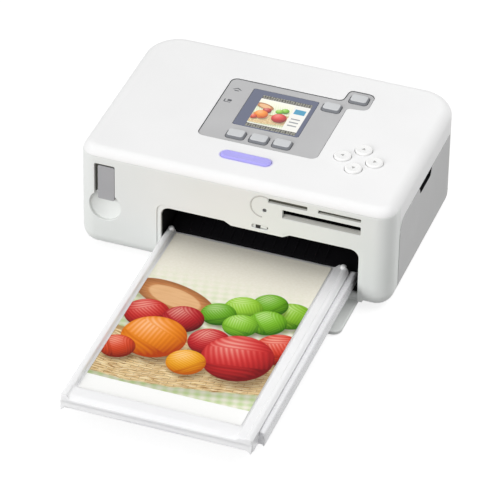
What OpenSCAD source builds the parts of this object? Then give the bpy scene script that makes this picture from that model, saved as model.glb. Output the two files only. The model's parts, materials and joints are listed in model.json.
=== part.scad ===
// Compact dye-sublimation photo printer with its paper cassette in place and a finished
// print lying on it. Units are millimetres. The origin is on the table under the centre of
// printer and cassette together, +X to the user's right, -Y to the front and +Z up. Depths
// named "from the front" are measured from the body's front face towards the back.

/* [Body] */
// Width of the body
body_w = 178; // [174:1:186]
// Depth of the body
body_d = 122; // [121:0.5:130]
// Height of the top face above the table
body_h = 66; // [66:0.5:74]
// Height of the shell's underside above the table
foot_h = 1.5; // [1.3:0.1:1.8]
// Wall thickness of the moulded shells
wall = 2.2; // [2:0.1:2.4]
// Radius of the front corners seen from above
front_r = 10; // [9.5:0.5:12]
// Radius of the rear corners seen from above
rear_r = 20; // [16:1:24]
// Radius of the roll around the top face
top_r = 6; // [5:0.5:7]
// Radius of the roll around the underside
bottom_r = 9; // [8:0.5:9.5]

/* [Parting lines] */
// Depth of the front panel's sides, from the front
front_band = 15.3; // [14:0.1:16]
// Depth of the rear panel's sides
rear_band = 18; // [16:0.5:20]
// Height of the base tray's rim
base_rim = 8; // [7.6:0.1:8.2]
// Depth of the top cover's skirt at the sides
side_skirt = 15; // [13:0.5:16]
// Depth of the top cover's skirt at the front
front_skirt = 4.5; // [3:0.1:5]

/* [Cassette opening] */
// Width of the front to the right of the opening
open_in = 18; // [17.5:0.1:18.4]
// Top edge of the opening
open_top = 37.3; // [37:0.1:38]
// Height of the sill under the cassette
sill_h = 9; // [8.6:0.1:9.1]
// Radius of the opening's upper corners
open_r = 5; // [3:0.5:7]
// Width of the shallow ledge around the opening
ledge_w = 2.3; // [1.5:0.1:3]
// Depth of that ledge
ledge_deep = 0.7; // [0.4:0.1:1]
// Wall of the black cassette bay
bay_t = 1.5; // [1.2:0.1:1.8]
// Depth of the bay, from the front
bay_deep = 39.5; // [38.5:0.1:39.8]

/* [Front cover] */
// Length of the front cover in front of the body
cover_reach = 27.5; // [24:0.5:32]
// Thickness of the front cover
cover_t = 2.3; // [1.8:0.1:2.5]
// Hinge axis of the front cover, from the front
cover_axis_y = 5; // [4.8:0.1:5.2]
// Height of that axis
cover_axis_z = 4.6; // [4.5:0.1:4.9]
// Radius of its hinge pins
cover_pin_r = 1.2; // [1:0.1:1.3]

/* [Side door] */
// Inset of the door's hinge axis from the body's side
door_axis_in = 1.8; // [1.7:0.1:1.9]
// Height of the door's hinge axis above the base rim
door_axis_up = 2; // [1.9:0.1:2.4]
// Radius of the door's hinge barrel
door_barrel_r = 1.65; // [1.5:0.05:1.7]
// Radius of its hinge pins
door_pin_r = 0.8; // [0.7:0.05:0.9]
// Gap around the door
door_gap = 0.3; // [0.2:0.05:0.4]
// Start of the finger notch, from the front
notch_y = 50.5; // [40:0.5:60]
// Length of the finger notch
notch_l = 19.5; // [15:0.5:25]
// Depth of the finger notch below the top cover
notch_deep = 4.6; // [4.4:0.1:6]

/* [Control panel] */
// Width of the silver panel
panel_w = 68.5; // [66:0.5:70]
// Depth of the silver panel
panel_d = 58.5; // [57:0.5:60]
// Front edge of the silver panel, from the front
panel_y = 33.5; // [32:0.5:34.5]
// Middle of the silver panel, from the body's right side
panel_in = 88.25; // [87.5:0.25:89]
// Corner radius of the panel
panel_r = 4; // [2:0.5:6]
// Thickness of the panel
panel_t = 1; // [0.8:0.1:1.1]
// Depth of the panel's face below the top face
panel_sink = 0.3; // [0.1:0.1:0.4]
// Width of the screen window
lcd_w = 37.7; // [34:0.1:38]
// Depth of the screen window
lcd_d = 36.1; // [30:0.1:36.5]
// Middle of the screen window, from the front
lcd_y = 68.35; // [68:0.05:68.6]

/* [Keys] */
// Width of a panel key
key_w = 10.5; // [9:0.1:10.7]
// Depth of a panel key
key_d = 8; // [6.5:0.1:8.2]
// Corner radius of a panel key
key_r = 1.8; // [1:0.1:2.5]
// Gap around a key
key_gap = 0.3; // [0.2:0.05:0.4]
// Height that a key stands above the surface
key_up = 1.3; // [0.8:0.1:1.8]
// Travel of a key
key_travel = 0.6; // [0.4:0.05:0.6]
// Spacing of the three keys under the screen
soft_pitch = 13.2; // [12.6:0.1:14]
// Middle of the three keys under the screen, from the front
soft_y = 40.8; // [40.5:0.1:41.5]
// Length of the pill-shaped print key
print_w = 28.8; // [22:0.1:32]
// Width of the print key
print_d = 7; // [5.5:0.1:8]
// Middle of the print key, from the front
print_y = 21.2; // [20.5:0.1:22.5]
// Radius of an arrow key
arrow_r = 5.25; // [4:0.05:5.5]
// Distance of each arrow key from the middle of the four
arrow_ring = 9; // [8.9:0.1:9.3]
// Middle of the four arrow keys, from the body's right side
arrow_in = 32.8; // [32.4:0.1:33.2]
// Middle of the four arrow keys, from the front
arrow_y = 41.8; // [40:0.1:44]

/* [Cassette] */
// Gap at the left of the cassette
cass_gap = 0.6; // [0.3:0.1:0.8]
// Gap at the right of the cassette
cass_right = 3.2; // [2.8:0.1:3.6]
// Length of the cassette in front of the body
cass_out = 148; // [147:0.5:160]
// Length of the cassette inside the body
cass_in = 38; // [37.6:0.1:38.2]
// Wall of the cassette's sides
cass_wall = 1.8; // [1.2:0.1:2]
// Floor of the cassette
cass_floor = 1; // [0.8:0.1:1.1]
// Height of the paper tray
tray_h = 5.2; // [5.1:0.05:5.4]
// Thickness of the lid
lid_t = 1.6; // [1.2:0.1:2]
// Height of the lid's side rims above its floor
rim_h = 3; // [2:0.1:3.4]
// Width of the lid's left rim
rim_left = 4.3; // [3:0.1:5]
// Width of the lid's right rim
rim_right = 12.5; // [11:0.1:13]
// Width of the lid's front rim
rim_front = 11.5; // [8:0.5:12]
// Length of the lid inside the body
lid_in = 10; // [8:0.5:12]

/* [Paper] */
// Width of a sheet
sheet_w = 89; // [88:0.5:90]
// Length of a sheet with its two tear-off tabs
sheet_l = 143.5; // [140:0.5:143.5]
// Thickness of a sheet
sheet_t = 0.25; // [0.2:0.05:0.4]
// Front edge of the finished print, in front of the body
print_out = 135.4; // [134:0.1:136]
// Thickness of the blank stack
stack_t = 2; // [1:0.25:2]

/* [Print mechanism] */
// Thickness of the chassis plates
plate_t = 1.5; // [1.2:0.1:1.8]
// Radius of the platen roller
platen_r = 8; // [7.5:0.1:8.1]
// Platen axis, from the front
platen_y = 67; // [66.5:0.1:67.5]
// Height of the platen axis
platen_z = 20; // [19.8:0.1:20.1]
// Radius of the platen shaft
platen_shaft_r = 3; // [2:0.1:3.2]
// Radius of the capstan roller
capstan_r = 3; // [2.6:0.1:3.1]
// Radius of the pinch roller
pinch_r = 3.4; // [3:0.1:3.6]
// Height of the capstan axis above the platen axis
capstan_up = 4.5; // [4:0.1:4.6]
// Radius of the pickup roller
pickup_r = 6; // [5:0.1:6.3]
// Pickup axis, from the front
pickup_y = 31; // [30.8:0.1:31.4]
// Radial running clearance of shafts and pins
run_fit = 0.05; // [0.03:0.01:0.08]
// Module of the gears
gear_m = 0.75; // [0.75:0.01:0.76]
// Width of the gears
gear_w = 4; // [3:0.5:5]
// Radius of the drive motor
motor_r = 9.5; // [8:0.5:10]
// Length of the drive motor
motor_l = 25; // [18:1:30]

/* [Ribbon] */
// Radius of the ribbon case's tubes
tube_r = 9; // [8.6:0.1:9]
// Wall of the tubes
tube_wall = 1.7; // [1.2:0.1:1.8]
// Height of the spool axes
spool_z = 38; // [37.9:0.1:38.2]
// Supply spool axis, from the front
supply_y = 50; // [49.8:0.1:50]
// Take-up spool axis, from the front
takeup_y = 84; // [84:0.1:84.4]
// Radius of the supply roll
supply_r = 6.5; // [5.5:0.1:6.6]
// Radius of the take-up roll
takeup_r = 5; // [4:0.1:5.1]
// Radius of the spool ends
spool_end_r = 2.5; // [2:0.1:2.8]

/* [Hidden] */
$fn = 64;

// A small overlap that fuses two shapes of one piece
fuse = 0.4;
// How far a cut runs past a face
past = 1;

// Body
front_y = (cass_out - body_d) / 2;
rear_y = front_y + body_d;
side_x = body_w / 2;
floor_z = foot_h + wall;
roof_z = body_h - wall;
band_y = front_y + front_band;
rear_band_y = rear_y - rear_band;
side_z = body_h - side_skirt;
front_z = body_h - front_skirt;

// Case posts: distance from the body's sides, front and back
post_r = 3;
post_in = 8.5;
post_front = 23;
post_rear_in = 14;
post_rear = 12.5;
post_foot_z = floor_z + 3.3;
screw_r = 1.25;
screw_head_r = 2.7;
screw_head_h = 1.6;
screw_l = 9.6;
screw_seat_z = foot_h + 1.9;
POSTS = [
    [side_x - post_in, front_y + post_front], [post_in - side_x, front_y + post_front],
    [side_x - post_rear_in, rear_y - post_rear], [post_rear_in - side_x, rear_y - post_rear]
];

// Feet
foot_r = 6;
foot_sink = 0.5;
FEET = [
    [side_x - 19, front_y + 26], [19 - side_x, front_y + 26],
    [side_x - 23, rear_y - 22], [23 - side_x, rear_y - 22]
];

// Cassette opening and its two small chamfered steps
open_x1 = side_x - open_in;
cass_x1 = open_x1 - cass_right;
sheet_gap_left = 1.2;
sheet_gap_right = 1.4;
cass_w = rim_left + sheet_gap_left + sheet_w + sheet_gap_right + rim_right;
cass_x0 = cass_x1 - cass_w;
open_x0 = cass_x0 - cass_gap;
step_x0 = open_x1 - 76.2;
step_x1 = open_x1 - 38.9;
step_slope = 4;
step_drop = 2.2;
cover_clear = 0.3;
sill_y = front_y + cover_axis_y + 2.2;
sill_t = 2;

// Card slots in the front: left x, right x, lower z, upper z
socket_l = 33.8;
slot_x1 = side_x - 17.2;
slot_top_left = [slot_x1 - 51.9, slot_x1 - 30, body_h - 9.8, body_h - 7];
slot_top_right = [slot_x1 - 23.9, slot_x1, body_h - 9, body_h - 7.6];
slot_wide = [slot_x1 - 43.8, slot_x1, body_h - 17.9, body_h - 12.5];
lamp_x = slot_x1 - 53.9;
lamp_z = body_h - 15.3;
lamp_r = 1.1;

// Recess of the cover latch above the opening
latch_x = slot_x1 - 56.35;
latch_z = open_top + 1.8;
latch_w = 9.3;
latch_h = 2.4;
latch_deep = 1.2;

// Plug slot and finger dish at the left of the front
plug_x = 15.4 - side_x;
plug_w = 11.8;
plug_z0 = 33;
plug_z1 = 57;
plug_gap = 0.4;
plug_deep = 12;
plug_sink = 0.6;
plug_wall = 1.4;
dish_r = 9.3;
dish_z = 30;
dish_deep = 5.5;

// Front cover
cover_x0 = open_x0 + cover_clear;
cover_x1 = open_x1 - cover_clear;
cover_bottom = 0.4;
cover_barrel_r = 2;
cover_pin_l = 2;

// Side door
door_axis_x = side_x - door_axis_in;
door_axis_z = base_rim + door_axis_up;
door_y0 = band_y + door_gap;
door_y1 = rear_band_y - door_gap;
door_pin_l = 5;

// Control panel, screen and keys
panel_top = body_h - panel_sink;
panel_floor = panel_top - panel_t;
panel_x = side_x - panel_in;
panel_cy = front_y + panel_y + panel_d / 2;
lcd_x = panel_x - 0.75;
bump_x0 = lcd_x + 31;
bump_x1 = lcd_x + 46;
bump_y0 = front_y + 87;
bump_y1 = front_y + 103;
bump_r = 3;
lcd_t = 0.9;
lcd_gap = 0.2;
lcd_hole = 2;
module_w = lcd_w + 2.6;
module_d = lcd_d + 2.4;
module_t = 4;
board_t = 1.2;
board_top = roof_z - 2;
board_x0 = lcd_x - 36;
board_x1 = side_x - 18;
board_y0 = front_y + 14;
board_y1 = front_y + 104.5;
dome_r = 2;
flange_t = 0.7;
flange_out = 0.7;
flange_drop = 0.2;
stem_under = 0.1;
stop_gap = 0.1;
dome_h = roof_z - flange_drop - flange_t - stem_under - key_travel - stop_gap - board_top;
menu_pos = [lcd_x + 26.9, front_y + 83.3];
power_pos = [lcd_x + 38.6, front_y + 95.7];
print_pos = [lcd_x - 0.5, front_y + print_y];
arrow_pos = [side_x - arrow_in, front_y + arrow_y];
PANEL_KEYS = concat(
    [for (i = [-1, 0, 1]) [lcd_x + i * soft_pitch, front_y + soft_y]], [menu_pos, power_pos]
);
ARROW_WAYS = [[0, 1], [0, -1], [-1, 0], [1, 0]];
boss_r = 2.2;
BOSSES = [
    [board_x0 + 3, 20], [board_x1 - 5, 20], [board_x0 + 3, 100], [board_x1 - 19, 101],
    [board_x0 + 3, 60], [board_x1 - 3, 66]
];

// Cassette
cass_y0 = front_y - cass_out;
cass_y1 = front_y + cass_in;
cass_z = sill_h + 0.2;
lid_z = cass_z + tray_h;
lid_top = lid_z + lid_t;
lid_y1 = front_y + lid_in;
paper_x0 = cass_x0 + rim_left + sheet_gap_left;
paper_x1 = paper_x0 + sheet_w;
guide_t = 1.2;
guide_gap = 0.4;
stack_y1 = cass_y1 - 2;
stack_y0 = stack_y1 - sheet_l;
stack_top = lid_z - 0.3;
stack_z = stack_top - stack_t;
lift_t = 0.6;
lift_y0 = front_y - 25;
lift_y1 = stack_y1 - 1;
lift_x0 = paper_x0 + 2;
lift_x1 = paper_x1 - 2;
spring_t = 0.3;
knob_r = 1.6;

// Chassis and rollers
left_in = open_x0 - bay_t - 2.3;
right_in = open_x1 + bay_t + 2.5;
left_out = left_in - plate_t;
right_out = right_in + plate_t;
plate_y0 = front_y + 36.5;
plate_y1 = front_y + 104.5;
plate_top = body_h - 11;
platen = [front_y + platen_y, platen_z];
platen_teeth = 32;
capstan_teeth = 12;
idler_teeth = 20;
pinion_teeth = 12;
function pitch_r(teeth) = gear_m * teeth / 2;
capstan_reach = pitch_r(platen_teeth) + pitch_r(capstan_teeth);
capstan_angle = 180 - asin(capstan_up / capstan_reach);
function polar(from, reach, angle) = from + reach * [cos(angle), sin(angle)];
capstan = polar(platen, capstan_reach, capstan_angle);
pinch = [capstan[0], capstan[1] - capstan_r - pinch_r - 0.3];
idler_angle = -14;
idler_reach = pitch_r(platen_teeth) + pitch_r(idler_teeth);
idler = polar(platen, idler_reach, idler_angle);
pinion_reach = pitch_r(idler_teeth) + pitch_r(pinion_teeth);
motor = idler + [pinion_reach, 0];
roller_x0 = paper_x0 - 3;
roller_x1 = paper_x1 + 3;
capstan_journal = 2;
pinch_journal = 1.5;
idler_pin_r = 1.5;
motor_shaft_r = 1.2;
gear_x1 = left_out - 2;
gear_x0 = gear_x1 - gear_w;
pickup = [front_y + pickup_y, stack_top + 0.3 + pickup_r];
pickup_x = (paper_x0 + paper_x1) / 2;
pickup_w = 32;
pickup_shaft_r = 2;
lug_t = 2.5;
lug_gap = 1;

// Ribbon and print head
supply = [front_y + supply_y, spool_z];
takeup = [front_y + takeup_y, spool_z];
case_x0 = left_in + 1;
case_x1 = right_in - 3;
disc_t = 1.2;
film_z = platen_z + platen_r + 0.4;
film_t = 0.2;
head_x0 = paper_x0 - 2.2;
head_x1 = paper_x1 + 3.4;
head_y0 = platen[0] - 6;
head_y1 = platen[0] + 6;
head_z = film_z + film_t + 0.4;
sink_z = head_z + 2.5;
sink_top = spool_z + 9.5;
arm_t = 2;
arm_z0 = spool_z + tube_r + 1.5;
arm_z1 = arm_z0 + 5;
pivot = [front_y + 98, arm_z0 - 2.5];
pivot_r = 2;

// Boards and sockets at the back
main_x0 = 5 - side_x;
main_x1 = gear_x0 - 2.5;
main_y0 = front_y + 52;
main_y1 = front_y + 101;
main_z = floor_z + 3.8;
main_t = 1.6;
jack_x = 33 - side_x;
jack_z = 20;
usb_x = side_x - 23;
usb_z = 16.5;
rear_slot_x0 = paper_x0 - 3;
rear_slot_x1 = paper_x1 + 3;
rear_slot_z0 = 27;
rear_slot_z1 = 33;

// Helpers -------------------------------------------------------------------------

// Box between two corners
module box(a, b) {
    translate(a) cube(b - a);
}

// Flat outline in Y and Z drawn out along X
module x_prism(x0, x1) {
    translate([x0, 0, 0]) rotate([90, 0, 90]) linear_extrude(x1 - x0) children();
}

// Flat outline in X and Z drawn out along Y
module y_prism(y0, y1) {
    translate([0, y1, 0]) rotate([90, 0, 0]) linear_extrude(y1 - y0) children();
}

// Rod along X at [y, z]
module x_rod(x0, x1, at, r) {
    translate([x0, at[0], at[1]]) rotate([0, 90, 0]) cylinder(h = x1 - x0, r = r);
}

// Rod along Y at [x, z]
module y_rod(y0, y1, at, r) {
    translate([at[0], y1, at[1]]) rotate([90, 0, 0]) cylinder(h = y1 - y0, r = r);
}

// Upright rod at [x, y]
module z_rod(z0, z1, at, r) {
    translate([at[0], at[1], z0]) cylinder(h = z1 - z0, r = r);
}

// Rounded rectangle about its middle
module round_rect(w, d, r) {
    square([w - 2 * r, d], center = true);
    square([w, d - 2 * r], center = true);
    for (x = [-1, 1], y = [-1, 1]) translate([x * (w / 2 - r), y * (d / 2 - r)]) circle(r = r);
}

// Pill-shaped outline about its middle
module pill(w, d) {
    square([w - d, d], center = true);
    for (x = [-1, 1]) translate([x * (w - d) / 2, 0]) circle(r = d / 2);
}

// Upright slab with rounded corners, about [x, y]
module slab(at, w, d, r, z0, z1) {
    translate([at[0], at[1], z0]) linear_extrude(z1 - z0) round_rect(w, d, r);
}

// Half section of the body: from its middle line to a side that lies at "half"
module half_section(half, inset) {
    mid = foot_h + bottom_r;
    intersection() {
        union() {
            translate([0, foot_h + inset]) square([half - bottom_r, bottom_r]);
            translate([0, mid]) square([half - inset, body_h - top_r - mid]);
            translate([0, mid]) square([half - top_r, body_h - inset - mid]);
            translate([half - bottom_r, mid]) circle(r = bottom_r - inset);
            translate([half - top_r, body_h - top_r]) circle(r = top_r - inset);
        }
        square([half, body_h]);
    }
}

// The body's outer form, drawn in by "inset"; its parts meet face to face
module block(inset) {
    y_prism(front_y + front_r, rear_y - rear_r) {
        half_section(side_x, inset);
        mirror([1, 0]) half_section(side_x, inset);
    }
    x_prism(front_r - side_x, side_x - front_r)
        translate([front_y + front_r, 0]) mirror([1, 0]) half_section(front_r, inset);
    x_prism(rear_r - side_x, side_x - rear_r)
        translate([rear_y - rear_r, 0]) half_section(rear_r, inset);
    translate([side_x - rear_r, rear_y - rear_r, 0])
        rotate_extrude(angle = 90) half_section(rear_r, inset);
    translate([rear_r - side_x, rear_y - rear_r, 0])
        rotate([0, 0, 90]) rotate_extrude(angle = 90) half_section(rear_r, inset);
    translate([front_r - side_x, front_y + front_r, 0])
        rotate([0, 0, 180]) rotate_extrude(angle = 90) half_section(front_r, inset);
    translate([side_x - front_r, front_y + front_r, 0])
        rotate([0, 0, 270]) rotate_extrude(angle = 90) half_section(front_r, inset);
}

// The thin wall of the whole body
module shell() {
    difference() {
        block(0);
        block(wall);
    }
}

// Gear blank with tapered teeth, about its own middle; tooth 0 points along "turn"
module gear_outline(teeth, turn) {
    r = pitch_r(teeth);
    root = r - 1.2 * gear_m;
    tip = r + 0.9 * gear_m;
    pitch = 360 / teeth;
    points = [for (i = [0 : teeth - 1], p = [[root, -0.31], [tip, -0.11], [tip, 0.11], [root, 0.31]])
        p[0] * [cos(turn + (i + p[1]) * pitch), sin(turn + (i + p[1]) * pitch)]];
    polygon(points);
}

// Turn of a gear that meshes with one whose tooth 0 points along "turn"
function mesh_turn(angle, turn, teeth, own) =
    angle + 180 - 180 / own + (angle - turn) * teeth / own;

// Spur gear on a shaft along X, with its bore
module gear(at, teeth, turn, bore) {
    x_prism(gear_x0, gear_x1) translate(at) difference() {
        gear_outline(teeth, turn);
        circle(r = bore);
    }
}

// Outline of the silver panel, grown by "grow"
module panel_outline(grow) {
    translate([panel_x, panel_cy]) round_rect(panel_w + 2 * grow, panel_d + 2 * grow, panel_r);
    translate([(bump_x0 + bump_x1) / 2, (bump_y0 + bump_y1) / 2])
        round_rect(bump_x1 - bump_x0 + 2 * grow, bump_y1 - bump_y0 + 2 * grow, bump_r);
    right = panel_x + panel_w / 2 + grow;
    polygon([[bump_x0, bump_y0 - 7], [right, bump_y0 - 7], [bump_x1 + grow, bump_y0 + bump_r],
        [bump_x0, bump_y0 + bump_r]]);
}

// A key: its cap, its flange under the cover and its stem over a dome
module key(at, w, d, r, top) {
    slab(at, w, d, r, roof_z - flange_drop - fuse, top);
    slab(at, w + 2 * flange_out, d + 2 * flange_out, r,
        roof_z - flange_drop - flange_t, roof_z - flange_drop);
    z_rod(roof_z - flange_drop - flange_t - stem_under, roof_z - flange_drop, at, dome_r);
}

// Casings -------------------------------------------------------------------------

module top_cover() {
    color("#F2F2F2") difference() {
        union() {
            intersection() {
                shell();
                union() {
                    box([-body_w, band_y, side_z], [body_w, 2 * body_d, body_h + past]);
                    box([-body_w, -body_d, front_z], [body_w, band_y, body_h + past]);
                }
            }
            for (p = POSTS) z_rod(post_foot_z, roof_z + fuse, p, post_r);
            for (b = BOSSES) z_rod(board_top, roof_z + fuse, [b[0], front_y + b[1]], boss_r);
        }
        translate([0, 0, panel_floor]) linear_extrude(body_h) panel_outline(0);
        slab([lcd_x, front_y + lcd_y], lcd_w - lcd_hole, lcd_d - lcd_hole, 1, roof_z - past, body_h);
        for (k = PANEL_KEYS)
            slab(k, key_w + 2 * key_gap, key_d + 2 * key_gap, key_r, roof_z - past, body_h);
        translate([print_pos[0], print_pos[1], roof_z - past])
            linear_extrude(body_h) pill(print_w + 2 * key_gap, print_d + 2 * key_gap);
        for (w = ARROW_WAYS)
            z_rod(roof_z - past, body_h + past, arrow_pos + arrow_ring * w, arrow_r + key_gap);
        for (p = POSTS) z_rod(post_foot_z - past, post_foot_z + screw_l - 2, p, screw_r + run_fit);
    }
}

module opening_outline(grow) {
    w = open_x1 - open_x0 + 2 * grow;
    h = open_top + grow + body_h;
    difference() {
        translate([(open_x0 + open_x1) / 2, open_top + grow - h / 2]) round_rect(w, h, open_r);
        polygon([[step_x0, open_top + grow + past], [step_x0, open_top + grow],
            [step_x0 + step_slope, open_top + grow - step_drop],
            [step_x1 - step_slope, open_top + grow - step_drop],
            [step_x1, open_top + grow], [step_x1, open_top + grow + past]]);
    }
}

module front_panel() {
    ear = 3;
    color("#E3E4DF") difference() {
        union() {
            intersection() {
                shell();
                box([-body_w, -body_d, 0], [body_w, band_y, front_z]);
            }
            // Ears for the front cover's pins, and the sill behind the cover
            intersection() {
                block(0);
                union() {
                    box([open_x0 - ear, -body_d, 0], [open_x0, sill_y + sill_t, sill_h]);
                    box([open_x1, -body_d, 0], [open_x1 + ear, sill_y + sill_t, sill_h]);
                    box([open_x0 - ear, sill_y, 0], [open_x1 + ear, sill_y + sill_t, sill_h]);
                    box([door_axis_x - 2.6, band_y - 7, base_rim], [body_w, band_y, base_rim + 4.2]);
                }
            }
            // Sleeve around the plug and cup behind the finger dish
            box([plug_x - plug_w / 2 - plug_wall, front_y + wall - fuse, plug_z0 + 3],
                [plug_x + plug_w / 2 + plug_wall, front_y + plug_deep, plug_z1 + plug_wall]);
            y_rod(front_y + wall - fuse, front_y + dish_deep + plug_wall, [plug_x, dish_z],
                dish_r + plug_wall);
        }
        difference() {
            y_prism(front_y - past, sill_y) opening_outline(0);
            box([open_x0 - ear, sill_y, 0], [open_x1 + ear, 2 * body_d, sill_h]);
        }
        y_prism(front_y - past, front_y + ledge_deep) opening_outline(ledge_w);
        for (s = [slot_top_left, slot_top_right, slot_wide])
            box([s[0], front_y - past, s[2]], [s[1], front_y + wall + past, s[3]]);
        y_rod(front_y - past, front_y + wall + past, [lamp_x, lamp_z], lamp_r + run_fit);
        y_prism(front_y - past, front_y + latch_deep) translate([latch_x, latch_z])
            pill(latch_w, latch_h);
        box([plug_x - plug_w / 2, front_y - past, plug_z0],
            [plug_x + plug_w / 2, front_y + plug_deep + past, plug_z1]);
        y_rod(front_y - past, front_y + dish_deep, [plug_x, dish_z], dish_r);
        x_rod(open_x0 - ear + 0.6, open_x1 + ear - 0.6, [front_y + cover_axis_y, cover_axis_z],
            cover_pin_r + run_fit);
        y_rod(band_y - door_pin_l, band_y + past, [door_axis_x, door_axis_z], door_pin_r);
    }
}

module side_region(side) {
    translate([side > 0 ? 0 : -body_w, 0, 0])
        box([0, band_y, base_rim], [body_w, rear_band_y, side_z]);
}

module left_side_panel() {
    color("#D0D0D0") intersection() {
        shell();
        side_region(-1);
    }
}

module ink_door() {
    color("#B4B4B2") difference() {
        union() {
            intersection() {
                shell();
                box([0, door_y0, door_axis_z], [body_w, door_y1, side_z - door_gap]);
            }
            y_rod(door_y0, door_y1, [door_axis_x, door_axis_z], door_barrel_r);
        }
        box([side_x - wall - past, front_y + notch_y, side_z - notch_deep],
            [side_x + past, front_y + notch_y + notch_l, side_z]);
        for (y = [door_y0 - past, door_y1 - door_pin_l])
            y_rod(y, y + door_pin_l + past, [door_axis_x, door_axis_z], door_pin_r + run_fit);
    }
}

module door_hinge_pins() {
    at = [door_axis_x, door_axis_z];
    color("#B8BABD") {
        y_rod(band_y - door_pin_l, door_y0 + door_pin_l - 0.5, at, door_pin_r);
        y_rod(door_y1 - door_pin_l + 0.5, rear_band_y + door_pin_l, at, door_pin_r);
    }
}

module rear_panel() {
    vent_w = 1.6;
    vent_pitch = 4;
    vents = 18;
    color("#C8C8C6") difference() {
        union() {
            intersection() {
                shell();
                box([-body_w, rear_band_y, base_rim], [body_w, 2 * body_d, side_z]);
            }
            intersection() {
                block(0);
                box([door_axis_x - 2.6, rear_band_y, base_rim],
                    [body_w, rear_band_y + 7, base_rim + 4.2]);
            }
        }
        box([rear_slot_x0, rear_y - wall - past, rear_slot_z0],
            [rear_slot_x1, rear_y + past, rear_slot_z1]);
        for (i = [0 : vents - 1]) translate([pickup_x + (i - (vents - 1) / 2) * vent_pitch, 0, 0])
            box([-vent_w / 2, rear_y - wall - past, rear_slot_z1 + 4],
                [vent_w / 2, rear_y + past, side_z - 4]);
        y_rod(rear_y - wall - past, rear_y + past, [jack_x, jack_z], 3.6);
        box([usb_x - 6.2, rear_y - wall - past, usb_z - 5.7],
            [usb_x + 6.2, rear_y + past, usb_z + 5.7]);
        y_rod(rear_band_y - past, rear_band_y + door_pin_l, [door_axis_x, door_axis_z], door_pin_r);
    }
}

module base_tray() {
    collar_r = 4;
    color("#CFCFCD") difference() {
        union() {
            intersection() {
                shell();
                box([-body_w, band_y, 0], [body_w, 2 * body_d, base_rim]);
            }
            for (p = POSTS) z_rod(floor_z - fuse, post_foot_z, p, collar_r);
            for (x = [main_x0 + 4, main_x1 - 4], y = [main_y0 + 4, main_y1 - 4])
                z_rod(floor_z - fuse, main_z, [x, y], 2);
        }
        for (p = POSTS) {
            z_rod(0, post_foot_z + past, p, screw_r + 0.3);
            z_rod(0, screw_seat_z, p, screw_head_r + 0.3);
        }
        for (f = FEET) z_rod(0, foot_h + foot_sink, f, foot_r);
    }
}

module rubber_feet() {
    color("#3A3B3D") for (f = FEET) z_rod(0, foot_h + foot_sink, f, foot_r);
}

module case_screws() {
    color("#B0B2B5") for (p = POSTS) {
        z_rod(screw_seat_z - screw_head_h, screw_seat_z, p, screw_head_r);
        z_rod(screw_seat_z - fuse, screw_seat_z + screw_l, p, screw_r);
    }
}

module front_cover() {
    axis = [front_y + cover_axis_y, cover_axis_z];
    color("#E3E4DF") {
        difference() {
            union() {
                box([cover_x0, front_y - cover_reach, cover_bottom],
                    [cover_x1, axis[0], cover_bottom + cover_t]);
                box([cover_x0, axis[0] - 1.8, cover_bottom], [cover_x1, axis[0] + 1.8, axis[1]]);
                x_rod(cover_x0, cover_x1, axis, cover_barrel_r);
            }
            // Slanted free edge
            x_prism(cover_x0 - past, cover_x1 + past) polygon([
                [front_y - cover_reach - past, cover_bottom + cover_t + past],
                [front_y - cover_reach - past, cover_bottom + 1],
                [front_y - cover_reach, cover_bottom + 1],
                [front_y - cover_reach + 2.5, cover_bottom + cover_t],
                [front_y - cover_reach + 2.5, cover_bottom + cover_t + past]]);
        }
        x_rod(cover_x0 - cover_pin_l, cover_x0 + fuse, axis, cover_pin_r);
        x_rod(cover_x1 - fuse, cover_x1 + cover_pin_l, axis, cover_pin_r);
    }
}

module cover_latch() {
    color("#3A3B3D") box([latch_x - 2.3, front_y + 0.3, latch_z - 0.9],
        [latch_x, front_y + latch_deep, latch_z + 0.9]);
}

// Control panel and keys ------------------------------------------------------------

module control_panel() {
    color("#C3C5C6") difference() {
        translate([0, 0, panel_floor]) linear_extrude(panel_t) panel_outline(-0.1);
        slab([lcd_x, front_y + lcd_y], lcd_w + 2 * lcd_gap, lcd_d + 2 * lcd_gap, 1,
            panel_floor - past, body_h);
        for (k = PANEL_KEYS)
            slab(k, key_w + 2 * key_gap, key_d + 2 * key_gap, key_r, panel_floor - past, body_h);
    }
}

module lcd_window() {
    color("#5F667E") slab([lcd_x, front_y + lcd_y], lcd_w, lcd_d, 1, panel_floor, panel_floor + lcd_t);
}

module lcd_module() {
    cut = 1;
    at = [lcd_x, front_y + lcd_y];
    color("#B9C4C9") difference() {
        slab(at, module_w, module_d, cut, roof_z - module_t, roof_z);
        slab(at, lcd_w - lcd_hole, lcd_d - lcd_hole, cut, roof_z - 0.6, roof_z + past);
    }
}

module panel_key(at) {
    color("#C9CBCD") key(at, key_w, key_d, key_r, panel_top + key_up);
}

module print_key() {
    base_z = roof_z - flange_drop - flange_t;
    color("#A79DE8") translate([print_pos[0], print_pos[1], 0]) {
        translate([0, 0, base_z + flange_t - fuse])
            linear_extrude(body_h + key_up - 0.3 - base_z - flange_t + fuse) pill(print_w, print_d);
        translate([0, 0, base_z])
            linear_extrude(flange_t) pill(print_w + 2 * flange_out, print_d + 2 * flange_out);
        z_rod(base_z - stem_under, base_z + fuse, [0, 0], dome_r);
    }
}

module arrow_key(way) {
    at = arrow_pos + arrow_ring * way;
    base_z = roof_z - flange_drop - flange_t;
    color("#F4F4F2") {
        z_rod(base_z + flange_t - fuse, body_h + key_up, at, arrow_r);
        z_rod(base_z, base_z + flange_t, at, arrow_r + flange_out);
        z_rod(base_z - stem_under, base_z + fuse, at, dome_r);
    }
}

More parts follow.
